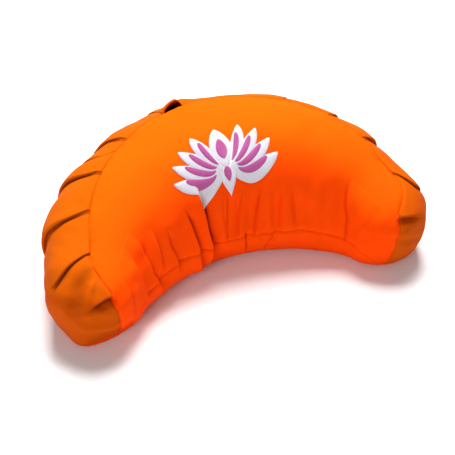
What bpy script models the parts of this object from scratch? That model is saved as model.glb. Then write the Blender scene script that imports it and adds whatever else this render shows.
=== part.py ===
"""A crescent-shaped zafu, a meditation cushion: filled top panel, knife-pleated side band, bottom panel.

The cushion lies on its bottom panel. X runs from horn to horn, +Y to the convex back, +Z up, and the origin
is under the middle of its box. Its surface is worked out on one grid. Columns run round the plan outline: the
outer arc, the right horn, the inner arc, the left horn. Rows run down the surface: from a centre line on the
crown, over the seam of the side band and the widest line, to the same centre line underneath. All three
pieces use this grid, so that a piece of cloth lies at an even depth on the filling.
"""

import bpy
import numpy as np

COLLECTION = "crescent_zafu"

# Plan of the crescent: a round arc, widened to both sides
ARC_RADIUS = 0.180
ARC_HALF_ANGLE = np.radians(66.0)
HORN_REACH = 1.08
HORN_FULLNESS = 2.1

# Sections from the left horn (-1) to the right horn (1). The rows past 1 are the horn tips.
# seam_offset is the band's top seam, as a share of the half width out from the arc.
SECTIONS = [
    dict(place=-1.30, half_width=0.0440, height=0.0860, seam_offset=0.00),
    dict(place=-1.00, half_width=0.0540, height=0.0960, seam_offset=0.06),
    dict(place=-0.75, half_width=0.0705, height=0.1130, seam_offset=0.25),
    dict(place=-0.50, half_width=0.0825, height=0.1315, seam_offset=0.37),
    dict(place=0.00, half_width=0.0915, height=0.1560, seam_offset=0.40),
    dict(place=0.50, half_width=0.0820, height=0.1450, seam_offset=0.44),
    dict(place=0.75, half_width=0.0690, height=0.1250, seam_offset=0.50),
    dict(place=1.00, half_width=0.0520, height=0.0995, seam_offset=0.37),
    dict(place=1.30, half_width=0.0420, height=0.0880, seam_offset=0.28),
]

# Cross-section: rounded above and below its widest line, with a flat foot
WIDEST_HEIGHT = 0.058
CROWN_SPREAD = 2.33
CROWN_ROUND = 2.09
FOOT_SHARE = 0.55
SKIRT_SPREAD = 2.4
SKIRT_ROUND = 2.2

# Centre line of the grid: this share of the half width inside the arc
POLE_SHARE = 0.5

# Seams
BAND_END_TURN = {-1: np.radians(120.0), 1: np.radians(112.0)}
BAND_END_SHARE = {-1: 0.88, 1: 0.82}
BAND_END_BEND = 4.0
INNER_REST_SHARE = 0.62
LOW_SEAM_FRONT = 0.047
LOW_SEAM_BEND = 0.038
LOW_SEAM_EASE = 0.35
LOW_SEAM_HORN = 0.012
LOW_SEAM_BACK = 0.009
SEAM_STEP = 0.0008
SEAM_SLOPE = 0.0030

# Cloth
CLOTH = 0.003
CLEARANCE = 0.0007

# Knife pleats of the band, from the back outwards. A place up to 1 is on the outer arc, and past 1 is a share
# of the half turn round the horn. The cloth rises to its fold edge and drops at the place. open is the share
# of the rise that is left at the top seam, where a pleat is caught flat unless it stands open.
PLEATS = [
    dict(side=-1, place=0.115, height=0.0055, open=1.50),
    dict(side=-1, place=0.37, height=0.0042, open=0.30),
    dict(side=-1, place=0.58, height=0.0055, open=0.30),
    dict(side=-1, place=0.79, height=0.0070, open=0.30),
    dict(side=-1, place=1.12, height=0.0070, open=0.25),
    dict(side=1, place=0.41, height=0.0045, open=0.40),
    dict(side=1, place=0.61, height=0.0055, open=0.30),
    dict(side=1, place=0.79, height=0.0065, open=0.40),
    dict(side=1, place=1.10, height=0.0070, open=0.20),
]
PLEAT_SWELL = 0.25
PLEAT_FADE = 1.5
PLEAT_START = {-1: 0.0, 1: 0.14}
PLEAT_STEPS = (0.10, 0.35, 0.65, 0.92)
PLEAT_FOLD = 0.92
PLEAT_LEAN = 0.28

# Folds drawn into the front of the top panel: gentle troughs down to the low seam. A place up to 1 is on the
# inner arc. drift moves the lower end along the arc.
FOLDS = [
    dict(place=-0.93, drift=-0.04, top=0.100, bottom=0.020, depth=0.0030, width=0.050),
    dict(place=-0.80, drift=-0.03, top=0.098, bottom=0.050, depth=0.0025, width=0.040),
    dict(place=-0.69, drift=0.02, top=0.096, bottom=0.045, depth=0.0025, width=0.040),
    dict(place=-0.48, drift=0.02, top=0.108, bottom=0.020, depth=0.0045, width=0.045),
    dict(place=-0.32, drift=0.00, top=0.124, bottom=0.030, depth=0.0060, width=0.045),
    dict(place=0.12, drift=0.00, top=0.060, bottom=0.015, depth=0.0025, width=0.035),
    dict(place=0.27, drift=0.00, top=0.104, bottom=0.045, depth=0.0022, width=0.040),
    dict(place=0.36, drift=-0.03, top=0.060, bottom=0.015, depth=0.0022, width=0.035),
    dict(place=0.47, drift=0.00, top=0.098, bottom=0.045, depth=0.0022, width=0.045),
    dict(place=0.90, drift=0.07, top=0.108, bottom=0.035, depth=0.0032, width=0.050),
]
FOLD_EASE = 0.018

# Hollow under the last fold at each horn's front
HORN_HOLLOWS = [
    dict(side=-1, turn=np.radians(100.0), height=0.052, depth=0.0085, spread=np.radians(17.0), rise=0.013),
    dict(side=1, turn=np.radians(100.0), height=0.052, depth=0.0065, spread=np.radians(17.0), rise=0.013),
]

# Grid
PLAIN_STEPS = 6
PLACE_GAP = 0.02
FOLD_GAP = 0.012
INNER_HORN_STEPS = 4
CROWN_ROWS = 6
BAND_UPPER_ROWS = 4
BAND_LOWER_ROWS = 2
UNDER_ROWS = 3
SEARCH_STEPS = 241
SLOPE_STEP = 1e-5
SAME = 1e-6

BRIGHT_ORANGE = (0.956, 0.110, 0.004)
SHADED_ORANGE = (0.740, 0.070, 0.004)
OCHRE_ORANGE = (0.640, 0.130, 0.004)
CLOTH_ROUGHNESS = 0.85


def section(name, place):
    """One column of SECTIONS at any place: a smooth cubic, with slopes from the neighbouring rows."""
    at = np.array([row["place"] for row in SECTIONS])
    value = np.array([row[name] for row in SECTIONS])
    slope = np.gradient(value, at)
    place = np.clip(place, at[0], at[-1])
    left = np.clip(np.searchsorted(at, place, side="right") - 1, 0, len(at) - 2)
    gap = at[left + 1] - at[left]
    share = (place - at[left]) / gap
    start = value[left] * (1 + 2 * share) + gap * slope[left] * share
    end = value[left + 1] * (3 - 2 * share) - gap * slope[left + 1] * (1 - share)
    return start * (1 - share) ** 2 + end * share**2


def on_arc(place, out=0.0):
    """The plan point at a place, this far out from the arc."""
    angle = np.clip(place, -1, 1) * ARC_HALF_ANGLE
    radius = ARC_RADIUS + out
    return np.stack([radius * np.sin(angle), radius * np.cos(angle)], axis=-1)


def horn_axes(side):
    """The directions out from the arc and along it past the horn's end."""
    outwards = np.array([side * np.sin(ARC_HALF_ANGLE), np.cos(ARC_HALF_ANGLE)])
    onwards = np.array([side * np.cos(ARC_HALF_ANGLE), -np.sin(ARC_HALF_ANGLE)])
    return outwards, onwards


def horn_outline(side, turn):
    """The plan outline round a horn, by the turn from straight out (0) to straight in (a half turn)."""
    outwards, onwards = horn_axes(side)
    width = section("half_width", float(side))
    cosine, sine = np.cos(turn), np.sin(turn)
    out = width * np.sign(cosine) * abs(cosine) ** (2 / HORN_FULLNESS)
    on = width * HORN_REACH * abs(sine) ** (2 / HORN_FULLNESS)
    return on_arc(float(side)) + out * outwards + on * onwards


def plan_place(point):
    """How far plan points lie from the arc's line to the outline (0 to 1), and their place along the arc."""
    angle = np.arctan2(point[..., 0], point[..., 1])
    side = np.where(angle < 0, -1.0, 1.0)
    place = angle / ARC_HALF_ANGLE
    width = section("half_width", np.clip(place, -1, 1))
    share = abs(np.hypot(point[..., 0], point[..., 1]) - ARC_RADIUS) / width
    from_end = point - on_arc(side)
    outwards = np.stack([side * np.sin(ARC_HALF_ANGLE), np.full_like(side, np.cos(ARC_HALF_ANGLE))], axis=-1)
    onwards = np.stack([side * np.cos(ARC_HALF_ANGLE), np.full_like(side, -np.sin(ARC_HALF_ANGLE))], axis=-1)
    out = abs((from_end * outwards).sum(axis=-1)) / width
    on = (from_end * onwards).sum(axis=-1) / (width * HORN_REACH)
    horn_share = (out**HORN_FULLNESS + np.maximum(on, 0) ** HORN_FULLNESS) ** (1 / HORN_FULLNESS)
    past = on > 0
    past_place = side * (1 + np.maximum(on, 0) * width * HORN_REACH / (ARC_RADIUS * ARC_HALF_ANGLE))
    return np.where(past, horn_share, share), np.where(past, past_place, place)


def upper_height(point):
    """Height of the upper surface over plan points."""
    share, place = plan_place(point)
    rise = np.maximum(1 - np.minimum(share, 1) ** CROWN_SPREAD, 0) ** (1 / CROWN_ROUND)
    return WIDEST_HEIGHT + (section("height", place) - WIDEST_HEIGHT) * rise


def lower_height(point):
    """Height of the lower surface over plan points: flat on the foot, then curling up to the widest line."""
    share, _ = plan_place(point)
    up = np.clip((share - FOOT_SHARE) / (1 - FOOT_SHARE), 0, 1)
    return WIDEST_HEIGHT * (1 - np.maximum(1 - up**SKIRT_SPREAD, 0) ** (1 / SKIRT_ROUND))


def share_at_height(height):
    """The share from the arc's line to the outline at which the lower surface has this height."""
    up = (1 - (1 - height / WIDEST_HEIGHT) ** SKIRT_ROUND) ** (1 / SKIRT_SPREAD)
    return FOOT_SHARE + (1 - FOOT_SHARE) * up


def smooth_step(value):
    """A share from 0 to 1 with a soft start and end."""
    value = np.clip(value, 0, 1)
    return value * value * (3 - 2 * value)


def column_list():
    """Columns round the outline, as dicts: side, place along the band (see PLEATS), turn, and whether the
    band covers the column. They start at the back middle and run to the right."""
    columns = {1: [], -1: []}
    for side in (1, -1):
        edges = [PLEAT_START[side]] + [row["place"] for row in PLEATS if row["side"] == side]
        places = [0.0]
        for start, end in zip(edges, edges[1:]):
            places += [start] + [start + share * (end - start) for share in PLEAT_STEPS]
        places += list(np.linspace(edges[-1], 1 + BAND_END_TURN[side] / np.pi, PLAIN_STEPS + 1))
        places = [place for place in places if abs(place - 1) > PLACE_GAP] + [1.0]
        for fold in [row for row in FOLDS if row["place"] * side > 0]:
            for place in abs(fold["place"]) + fold["width"] * np.array([0, -1, 1]):
                if place < 1 and min(abs(place - other) for other in places) > FOLD_GAP:
                    places.append(place)
        columns[side] = sorted(places)
    outer = {side: [place for place in columns[side] if place <= 1] for side in (1, -1)}
    horn = {side: [place for place in columns[side] if place > 1] for side in (1, -1)}
    rows = []

    def add(side, place, turn, arc_place, band):
        rows.append(dict(side=side, place=place, turn=turn, arc_place=arc_place, band=band))

    for place in outer[1]:
        add(1, place, 0.0, place, True)
    for place in horn[1]:
        add(1, place, (place - 1) * np.pi, 1.0, True)
    for turn in inner_horn_turns(1):
        add(1, 1 + turn / np.pi, turn, 1.0, False)
    for place in reversed(outer[1]):
        add(1, 3 - place, np.pi, place, False)
    for place in outer[-1][1:]:
        add(-1, 3 - place, np.pi, -place, False)
    for turn in reversed(inner_horn_turns(-1)):
        add(-1, 1 + turn / np.pi, turn, -1.0, False)
    for place in reversed(horn[-1]):
        add(-1, place, (place - 1) * np.pi, -1.0, True)
    for place in reversed(outer[-1][1:]):
        add(-1, place, 0.0, -place, True)
    return rows


def inner_horn_turns(side):
    """Turns of the columns between the band's end and the inner arc: two close ones make the end seam."""
    radius = section("half_width", float(side))
    first = BAND_END_TURN[side] + SEAM_STEP / radius
    second = BAND_END_TURN[side] + (SEAM_STEP + SEAM_SLOPE) / radius
    rest = np.linspace(second, np.pi, INNER_HORN_STEPS + 2)[1:-1]
    return [first, second, *rest]


def seam_share(column):
    """Share of the way from the centre line to the outline at which the row of the band's top seam lies."""
    place = column["arc_place"]
    outer = (float(section("seam_offset", place)) + POLE_SHARE) / (1 + POLE_SHARE)
    if column["turn"] == 0:
        return outer
    end_turn, end_share = BAND_END_TURN[column["side"]], BAND_END_SHARE[column["side"]]
    along = min(column["turn"] / end_turn, 1.0)
    share = outer + (end_share - outer) * along**BAND_END_BEND
    past = smooth_step((column["turn"] - end_turn) / (np.pi - end_turn))
    return share + (INNER_REST_SHARE - share) * past


def low_seam_height(column):
    """Height of the seam between the bottom panel and the piece above it."""
    end_turn = BAND_END_TURN[column["side"]]
    if column["band"]:
        front = smooth_step(2 * column["turn"] / end_turn - 1)
        return LOW_SEAM_BACK + (LOW_SEAM_HORN - LOW_SEAM_BACK) * front
    if column["turn"] < np.pi:
        rise = smooth_step((column["turn"] - end_turn) / (np.pi - end_turn))
        return LOW_SEAM_HORN + (LOW_SEAM_BEND - LOW_SEAM_HORN) * rise
    rise = smooth_step((1 - abs(column["arc_place"])) / LOW_SEAM_EASE)
    return LOW_SEAM_BEND + (LOW_SEAM_FRONT - LOW_SEAM_BEND) * rise


def outline_point(column, arc_place):
    """The point of the plan outline that a column runs to."""
    if 0 < column["turn"] < np.pi:
        return horn_outline(column["side"], column["turn"])
    out = section("half_width", arc_place)
    return on_arc(arc_place, out if column["turn"] == 0 else -out)


def pole_point(arc_place):
    """The point of the centre line that a column runs from."""
    return on_arc(arc_place, -POLE_SHARE * section("half_width", arc_place))


def rounded_steps(start, end, count):
    """Shares from start to end, with the last ones closer, as a round shoulder needs."""
    angle = np.linspace(np.arcsin(start), np.arcsin(end), count + 1)[1:]
    return list(np.sin(angle))


def column_points(column):
    """The points of one column, and how far down the band each lies, from 0 above it to 1 below it."""
    place = column["arc_place"]
    pole, rim = pole_point(place), outline_point(column, place)
    length = np.hypot(*(rim - pole))
    seam = seam_share(column)
    step, slope = SEAM_STEP / length, SEAM_SLOPE / length
    upper = list(np.linspace(0, seam - step - slope, CROWN_ROWS + 1)) + [seam - step, seam]
    upper += rounded_steps(seam, 1.0, BAND_UPPER_ROWS)
    search = np.linspace(0, 1, SEARCH_STEPS)
    shares, _ = plan_place(pole + search[:, None] * (rim - pole))
    outer_part = search >= search[shares.argmin()]
    height = low_seam_height(column)
    rungs = np.linspace(WIDEST_HEIGHT, height + SEAM_STEP + SEAM_SLOPE, BAND_LOWER_ROWS + 1)[1:]
    rungs = [*rungs, height + SEAM_STEP, height]
    lower = [np.interp(share_at_height(rung), shares[outer_part], search[outer_part]) for rung in rungs]
    foot = np.interp(FOOT_SHARE, shares[outer_part], search[outer_part])
    under = list(np.linspace(lower[-1], foot, UNDER_ROWS + 1)[1:]) + [0.0]
    down = np.array(upper + lower + under)
    is_upper = np.arange(len(down)) < len(upper)
    band_count = BAND_UPPER_ROWS + BAND_LOWER_ROWS + 1
    band_rows = np.clip((np.arange(len(down)) - CROWN_ROWS - 2) / band_count, 0, 1)
    plan = lean(column, pole, rim, down, band_rows)
    points = np.where(is_upper, upper_height(plan), lower_height(plan))
    return np.column_stack([plan, points]), band_rows


def lean(column, pole, rim, down, band_rows):
    """Plan points of a column. On the outer arc the columns lean towards the horn as they go down."""
    if column["turn"] != 0:
        return pole + down[:, None] * (rim - pole)
    place = column["arc_place"]
    lean_share = np.sin(np.pi * band_rows) * PLEAT_LEAN * place * abs(place) * (1 - abs(place))
    places = place + lean_share
    poles = pole_point(places)
    rims = on_arc(places, section("half_width", places))
    return poles + down[:, None] * (rims - poles)


ROW_SEAM = CROWN_ROWS + 2
ROW_WIDEST = ROW_SEAM + BAND_UPPER_ROWS
ROW_LOW_SLOPE = ROW_WIDEST + BAND_LOWER_ROWS
ROW_BAND_END = ROW_LOW_SLOPE + 1
ROW_LOW_SEAM = ROW_BAND_END + 1


def plan_slope(function, point):
    """Slope of a function of plan points, from small steps in X and Y."""
    steps = np.array([(SLOPE_STEP, 0.0), (0.0, SLOPE_STEP)])
    slopes = [(function(point + step) - function(point - step)) / (2 * SLOPE_STEP) for step in steps]
    return np.stack(slopes, axis=-1)


def outward(points):
    """Unit normals of the smooth surface, from the curve that its cross-section follows."""
    plan, height = points[..., :2], points[..., 2]
    share, place = plan_place(plan)
    share_slope = plan_slope(lambda point: plan_place(point)[0], plan)
    crown_slope = plan_slope(lambda point: section("height", plan_place(point)[1]), plan)
    crown = section("height", place) - WIDEST_HEIGHT
    rise = np.clip((height - WIDEST_HEIGHT) / crown, 0, 1)
    above_out = CROWN_SPREAD * share ** (CROWN_SPREAD - 1)
    above_flat = above_out[..., None] * share_slope
    above_flat = above_flat - (CROWN_ROUND * rise**CROWN_ROUND / crown)[..., None] * crown_slope
    above_up = CROWN_ROUND * rise ** (CROWN_ROUND - 1) / crown
    up = np.clip((share - FOOT_SHARE) / (1 - FOOT_SHARE), 0, 1)
    sink = np.clip(1 - height / WIDEST_HEIGHT, 0, 1)
    below_out = SKIRT_SPREAD * up ** (SKIRT_SPREAD - 1) / (1 - FOOT_SHARE)
    below_flat = below_out[..., None] * share_slope
    below_up = -SKIRT_ROUND * sink ** (SKIRT_ROUND - 1) / WIDEST_HEIGHT
    above = np.concatenate([above_flat, above_up[..., None]], axis=-1)
    below = np.concatenate([below_flat, below_up[..., None]], axis=-1)
    is_upper = np.arange(points.shape[1]) <= ROW_WIDEST
    normal = np.where(is_upper[None, :, None], above, below)
    return normal / np.linalg.norm(normal, axis=-1, keepdims=True)


def pleat_relief(column, down):
    """Rise of the band over its smooth form: up to each fold edge, down at the crease, fading lower down."""
    if not column["band"]:
        return np.zeros_like(down)
    side = column["side"]
    rows = [row for row in PLEATS if row["side"] == side]
    start = PLEAT_START[side]
    for row in rows:
        if start <= column["place"] < row["place"] - SAME:
            share = (column["place"] - start) / (row["place"] - start)
            rise = np.sin(np.pi / 2 * share / PLEAT_FOLD) if share <= PLEAT_FOLD + SAME else 0.0
            caught = row["open"] + (1 - row["open"]) * smooth_step(down / PLEAT_SWELL)
            fade = np.cos(np.pi / 2 * np.clip(down, 0, 1) ** PLEAT_FADE)
            return row["height"] * rise * caught * fade
        start = row["place"]
    return np.zeros_like(down)


def fold_relief(column, points):
    """Depth of the folds in the front of the top panel, as gentle troughs across the columns."""
    relief = np.zeros(len(points))
    if column["band"]:
        return relief
    along = np.arctan2(points[:, 0], points[:, 1]) / ARC_HALF_ANGLE
    for fold in FOLDS:
        height = points[:, 2]
        share = np.clip((fold["top"] - height) / (fold["top"] - fold["bottom"]), 0, 1)
        centre = fold["place"] + fold["drift"] * share
        across = np.exp(-(((along - centre) / fold["width"]) ** 2))
        on = smooth_step((fold["top"] - height) / (2 * FOLD_EASE))
        off = smooth_step((height - fold["bottom"] + FOLD_EASE) / FOLD_EASE)
        relief -= fold["depth"] * across * on * off
    return relief


def horn_relief(column, points):
    """The hollow under the last fold of the band at the front of each horn, with a sharper upper edge."""
    relief = np.zeros(len(points))
    if not column["band"] or column["turn"] == 0:
        return relief
    for hollow in HORN_HOLLOWS:
        if hollow["side"] != column["side"]:
            continue
        across = np.exp(-(((column["turn"] - hollow["turn"]) / hollow["spread"]) ** 2))
        above = (points[:, 2] - hollow["height"]) / hollow["rise"]
        relief -= hollow["depth"] * across * np.exp(-np.where(above > 0, 2 * above, above) ** 2)
    return relief


def surface():
    """The grid of the finished outer surface, its normals, and the columns."""
    columns = column_list()
    points, down = zip(*[column_points(column) for column in columns])
    points, down = np.array(points), np.array(down)
    normals = outward(points)
    relief = np.zeros(points.shape[:2])
    for i, column in enumerate(columns):
        relief[i] = pleat_relief(column, down[i]) * (np.arange(points.shape[1]) >= ROW_SEAM)
        relief[i] += fold_relief(column, points[i]) + horn_relief(column, points[i])
    relief[:, ROW_LOW_SEAM + 1 :] = 0
    relief[:, 0] = 0
    points = points + relief[:, :, None] * normals
    return points, normals, columns


def strip(count_across, count_down, offset, wrap, flip):
    """Triangles of a grid of points numbered column by column."""
    triangles = []
    for i in range(count_across if wrap else count_across - 1):
        following = (i + 1) % count_across
        for j in range(count_down - 1):
            a, b = offset + i * count_down + j, offset + following * count_down + j
            pair = [(a, b, b + 1), (a, b + 1, a + 1)]
            triangles += [face[::-1] for face in pair] if flip else pair
    return triangles


def make_object(name, points, triangles, colour):
    """A mesh object with its coinciding points made one, and its own cloth material."""
    points = np.asarray(points)
    _, first, index = np.unique(np.round(points, 7), axis=0, return_index=True, return_inverse=True)
    index = index.reshape(-1)
    faces = [tuple(int(index[k]) for k in face) for face in triangles]
    faces = [face for face in faces if len(set(face)) == 3]
    mesh = bpy.data.meshes.new(name)
    mesh.from_pydata(points[first].tolist(), [], faces)
    mesh.shade_smooth()
    material = bpy.data.materials.new(name)
    material.use_nodes = True
    shader = material.node_tree.nodes["Principled BSDF"]
    shader.inputs["Base Color"].default_value = (*colour, 1.0)
    shader.inputs["Roughness"].default_value = CLOTH_ROUGHNESS
    shader.inputs["Metallic"].default_value = 0.0
    mesh.materials.append(material)
    piece = bpy.data.objects.new(name, mesh)
    bpy.data.collections[COLLECTION].objects.link(piece)
    return piece


def top_panel(points, normals, columns):
    """The filled cushion under its top panel. Under the other pieces it sinks by cloth and clearance."""
    under_band = np.array([column["turn"] <= inner_horn_turns(column["side"])[0] for column in columns])
    sunk = np.zeros(points.shape[:2])
    sunk[under_band, ROW_SEAM - 1 :] = 1
    sunk[:, ROW_BAND_END:] = 1
    body = points - (CLOTH + CLEARANCE) * (sunk[:, :, None] * normals)
    across, down = points.shape[:2]
    return make_object("top_panel", body.reshape(-1, 3), strip(across, down, 0, True, False), BRIGHT_ORANGE)


def side_band(points, normals, columns):
    """The pleated band, from the end seam of one horn round the back to that of the other."""
    band = [i for i, column in enumerate(columns) if column["band"]]
    start = next(k for k, i in enumerate(band) if i + 1 < len(columns) and not columns[i + 1]["band"]) + 1
    order = band[start:] + band[:start]
    rows = slice(ROW_SEAM, ROW_BAND_END + 1)
    outside = points[order][:, rows]
    inside = outside - CLOTH * normals[order][:, rows]
    return sheet("side_band", outside, inside, OCHRE_ORANGE)


def sheet(name, outside, inside, colour):
    """A closed sheet from two like grids, open along its four edges before they are joined."""
    across, down = outside.shape[:2]
    count = across * down
    triangles = strip(across, down, 0, False, False) + strip(across, down, count, False, True)
    rim = [(i, 0) for i in range(across)] + [(across - 1, j) for j in range(1, down)]
    rim += [(i, down - 1) for i in range(across - 2, -1, -1)] + [(0, j) for j in range(down - 2, 0, -1)]
    for (i, j), (m, n) in zip(rim, rim[1:] + rim[:1]):
        a, b = i * down + j, m * down + n
        triangles += [(b, a, a + count), (b, a + count, b + count)]
    points = np.concatenate([outside.reshape(-1, 3), inside.reshape(-1, 3)])
    return make_object(name, points, triangles, colour)


def bottom_panel(points, normals):
    """The bottom panel: flat under the cushion and turned up round it to the low seam."""
    outside = points[:, ROW_LOW_SEAM:]
    inside = outside - CLOTH * normals[:, ROW_LOW_SEAM:]
    across, down = outside.shape[:2]
    count = across * down
    triangles = strip(across, down, 0, True, False) + strip(across, down, count, True, True)
    for i in range(across):
        a, b = i * down, (i + 1) % across * down
        triangles += [(b, a, a + count), (b, a + count, b + count)]
    both = np.concatenate([outside.reshape(-1, 3), inside.reshape(-1, 3)])
    return make_object("bottom_panel", both, triangles, SHADED_ORANGE)


def main():
    for old in list(bpy.data.objects):
        bpy.data.objects.remove(old)
    collection = bpy.data.collections.new(COLLECTION)
    bpy.context.scene.collection.children.link(collection)
    points, normals, columns = surface()
    lowest, highest = points.min(axis=(0, 1)), points.max(axis=(0, 1))
    points[:, :, :2] -= (lowest[:2] + highest[:2]) / 2
    top_panel(points, normals, columns)
    side_band(points, normals, columns)
    bottom_panel(points, normals)


main()
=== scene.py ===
"""The looks of a crescent zafu, a meditation cushion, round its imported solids.

The cushion lies on its bottom panel, with its horns towards the camera. X runs from horn to horn, +Y to the
convex back and +Z up, in metres. Its smooth form is worked out by formula, as in the solids: columns run round
the plan outline and rows run down the surface. The top panel, the pleated side band, the bottom panel and the
embroidered lotus are each made on that form, with their folds, pleats and seams laid over it.
"""

from __future__ import annotations

import logging
from dataclasses import dataclass, field, replace
from enum import Enum

import bmesh
import bpy
import numpy as np
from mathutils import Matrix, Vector

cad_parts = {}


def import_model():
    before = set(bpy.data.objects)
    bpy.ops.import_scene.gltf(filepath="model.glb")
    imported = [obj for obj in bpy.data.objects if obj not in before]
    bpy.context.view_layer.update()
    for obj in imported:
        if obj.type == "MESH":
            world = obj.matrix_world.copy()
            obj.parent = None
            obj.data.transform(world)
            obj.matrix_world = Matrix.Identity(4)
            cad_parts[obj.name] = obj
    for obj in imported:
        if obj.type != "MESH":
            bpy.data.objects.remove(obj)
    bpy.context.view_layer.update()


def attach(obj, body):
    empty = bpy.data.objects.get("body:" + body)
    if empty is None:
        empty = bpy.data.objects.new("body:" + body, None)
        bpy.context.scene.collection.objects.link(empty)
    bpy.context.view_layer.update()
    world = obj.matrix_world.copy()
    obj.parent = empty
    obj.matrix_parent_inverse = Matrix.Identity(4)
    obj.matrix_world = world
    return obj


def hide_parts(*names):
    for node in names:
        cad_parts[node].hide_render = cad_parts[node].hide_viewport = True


Array = np.ndarray
LOG = logging.getLogger("zafu")
MILLIMETRE = 0.001
ROOT = "root"


class Side(Enum):
    """The cushion's two sides, by the sign of X."""

    LEFT = -1
    RIGHT = 1


def smooth_step(value: Array) -> Array:
    """A share from 0 to 1 with a soft start and end: three squares less two cubes."""
    value = np.clip(value, 0.0, 1.0)
    return value * value * (3 - 2 * value)


def bump(value: Array) -> Array:
    """The bell curve: e to the power of minus the square."""
    return np.exp(-(value**2))


def ripple(points: Array, wave: float, seed: int, count: int = 9) -> Array:
    """Gentle unevenness: plane waves of like length in random directions, added up.

    Args:
        points: places, with X, Y and Z last.
        wave: the middle wave length, in metres.
        seed: what the directions and phases are drawn from.
        count: how many waves are added.

    Returns:
        The sum at each place, mostly between -1 and 1.
    """
    draw = np.random.default_rng(seed)
    direction = draw.normal(size=(count, 3))
    direction /= np.linalg.norm(direction, axis=1, keepdims=True)
    number = 2 * np.pi / (wave * draw.uniform(0.7, 1.4, size=count))
    phase = draw.uniform(0, 2 * np.pi, size=count)
    return np.sin(points @ (direction * number[:, None]).T + phase).sum(axis=-1) / np.sqrt(count)


def line_distance(points: Array, line: Array) -> tuple[Array, Array]:
    """How far points of a plane lie from a line of several stretches, and how far along it.

    Args:
        points: the points, with their two coordinates last.
        line: the line's corners.

    Returns:
        The distance, above 0 to the right of the line, and the share of the line passed.
    """
    best = np.full(points.shape[:-1], np.inf)
    signed, passed = np.zeros(best.shape), np.zeros(best.shape)
    for number, (start, end) in enumerate(zip(line[:-1], line[1:])):
        step, offset = end - start, points - start
        share = (offset @ step) / (step @ step)
        away = np.linalg.norm(offset - np.clip(share, 0, 1)[..., None] * step, axis=-1)
        side = np.where(step[1] * offset[..., 0] - step[0] * offset[..., 1] < 0, -1.0, 1.0)
        nearer = away < best
        best = np.where(nearer, away, best)
        signed = np.where(nearer, side * away, signed)
        passed = np.where(nearer, (number + share) / (len(line) - 1), passed)
    return signed, passed


def fold_profile(away: Array, crisp: float, swell: float, reach: float) -> Array:
    """The section of a fold 1 deep: cloth swells up to the crease, drops across it and eases back.

    Args:
        away: distance from the crease, above 0 on the low side.
        crisp: the drop's width.
        swell: the height on the other side.
        reach: how far the swell and the trough reach.

    Returns:
        The height at each distance.
    """
    drop = smooth_step(0.5 + away / crisp)
    high = swell * np.exp(np.minimum(away, 0) / reach)
    low = np.exp(-np.maximum(away, 0) / reach)
    return (1 - drop) * high - drop * low


@dataclass(frozen=True)
class Push:
    """A soft push on the whole cushion: what lies near its centre moves by its shift."""

    centre: tuple[float, float, float]
    reach: float
    shift: tuple[float, float, float]


PUSHES = (
    Push((-0.1930, -0.1100, 0.006), 0.020, (-0.0030, -0.0042, 0.0)),
    Push((-0.2100, -0.0960, 0.022), 0.018, (0.0030, 0.0012, 0.0)),
    Push((-0.1690, -0.1240, 0.016), 0.020, (0.0015, 0.0080, 0.0)),
    Push((-0.1420, -0.1190, 0.012), 0.020, (-0.0010, 0.0090, 0.0)),
    Push((-0.0880, -0.0800, 0.015), 0.036, (0.0036, -0.0030, 0.0)),
    Push((-0.0500, -0.0560, 0.015), 0.026, (0.0008, -0.0022, 0.0)),
    Push((-0.2200, -0.0550, 0.045), 0.030, (-0.0014, 0.0, 0.0)),
    Push((-0.1620, 0.0720, 0.075), 0.040, (-0.0024, 0.0024, 0.0)),
    Push((0.0500, 0.0700, 0.150), 0.050, (0.0, 0.0, -0.0022)),
    Push((0.1500, 0.0720, 0.085), 0.030, (-0.0014, -0.0016, 0.0)),
    Push((0.2180, -0.0450, 0.060), 0.035, (-0.0034, 0.0, 0.0)),
    Push((0.2050, -0.1000, 0.030), 0.028, (0.0022, -0.0010, 0.0)),
    Push((0.1500, -0.1180, 0.010), 0.025, (0.0, 0.0024, 0.0)),
)


@dataclass(frozen=True)
class Station:
    """One cross-section of the crescent, at a place from the left horn (-1) to the right horn (1)."""

    place: float
    half_width: float
    height: float
    seam_offset: float


STATIONS = (
    Station(place=-1.30, half_width=0.0440, height=0.0860, seam_offset=0.00),
    Station(place=-1.00, half_width=0.0540, height=0.0960, seam_offset=0.06),
    Station(place=-0.75, half_width=0.0705, height=0.1130, seam_offset=0.25),
    Station(place=-0.50, half_width=0.0825, height=0.1315, seam_offset=0.37),
    Station(place=0.00, half_width=0.0915, height=0.1560, seam_offset=0.40),
    Station(place=0.50, half_width=0.0820, height=0.1450, seam_offset=0.44),
    Station(place=0.75, half_width=0.0690, height=0.1250, seam_offset=0.50),
    Station(place=1.00, half_width=0.0520, height=0.0995, seam_offset=0.37),
    Station(place=1.30, half_width=0.0420, height=0.0880, seam_offset=0.28),
)


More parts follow.
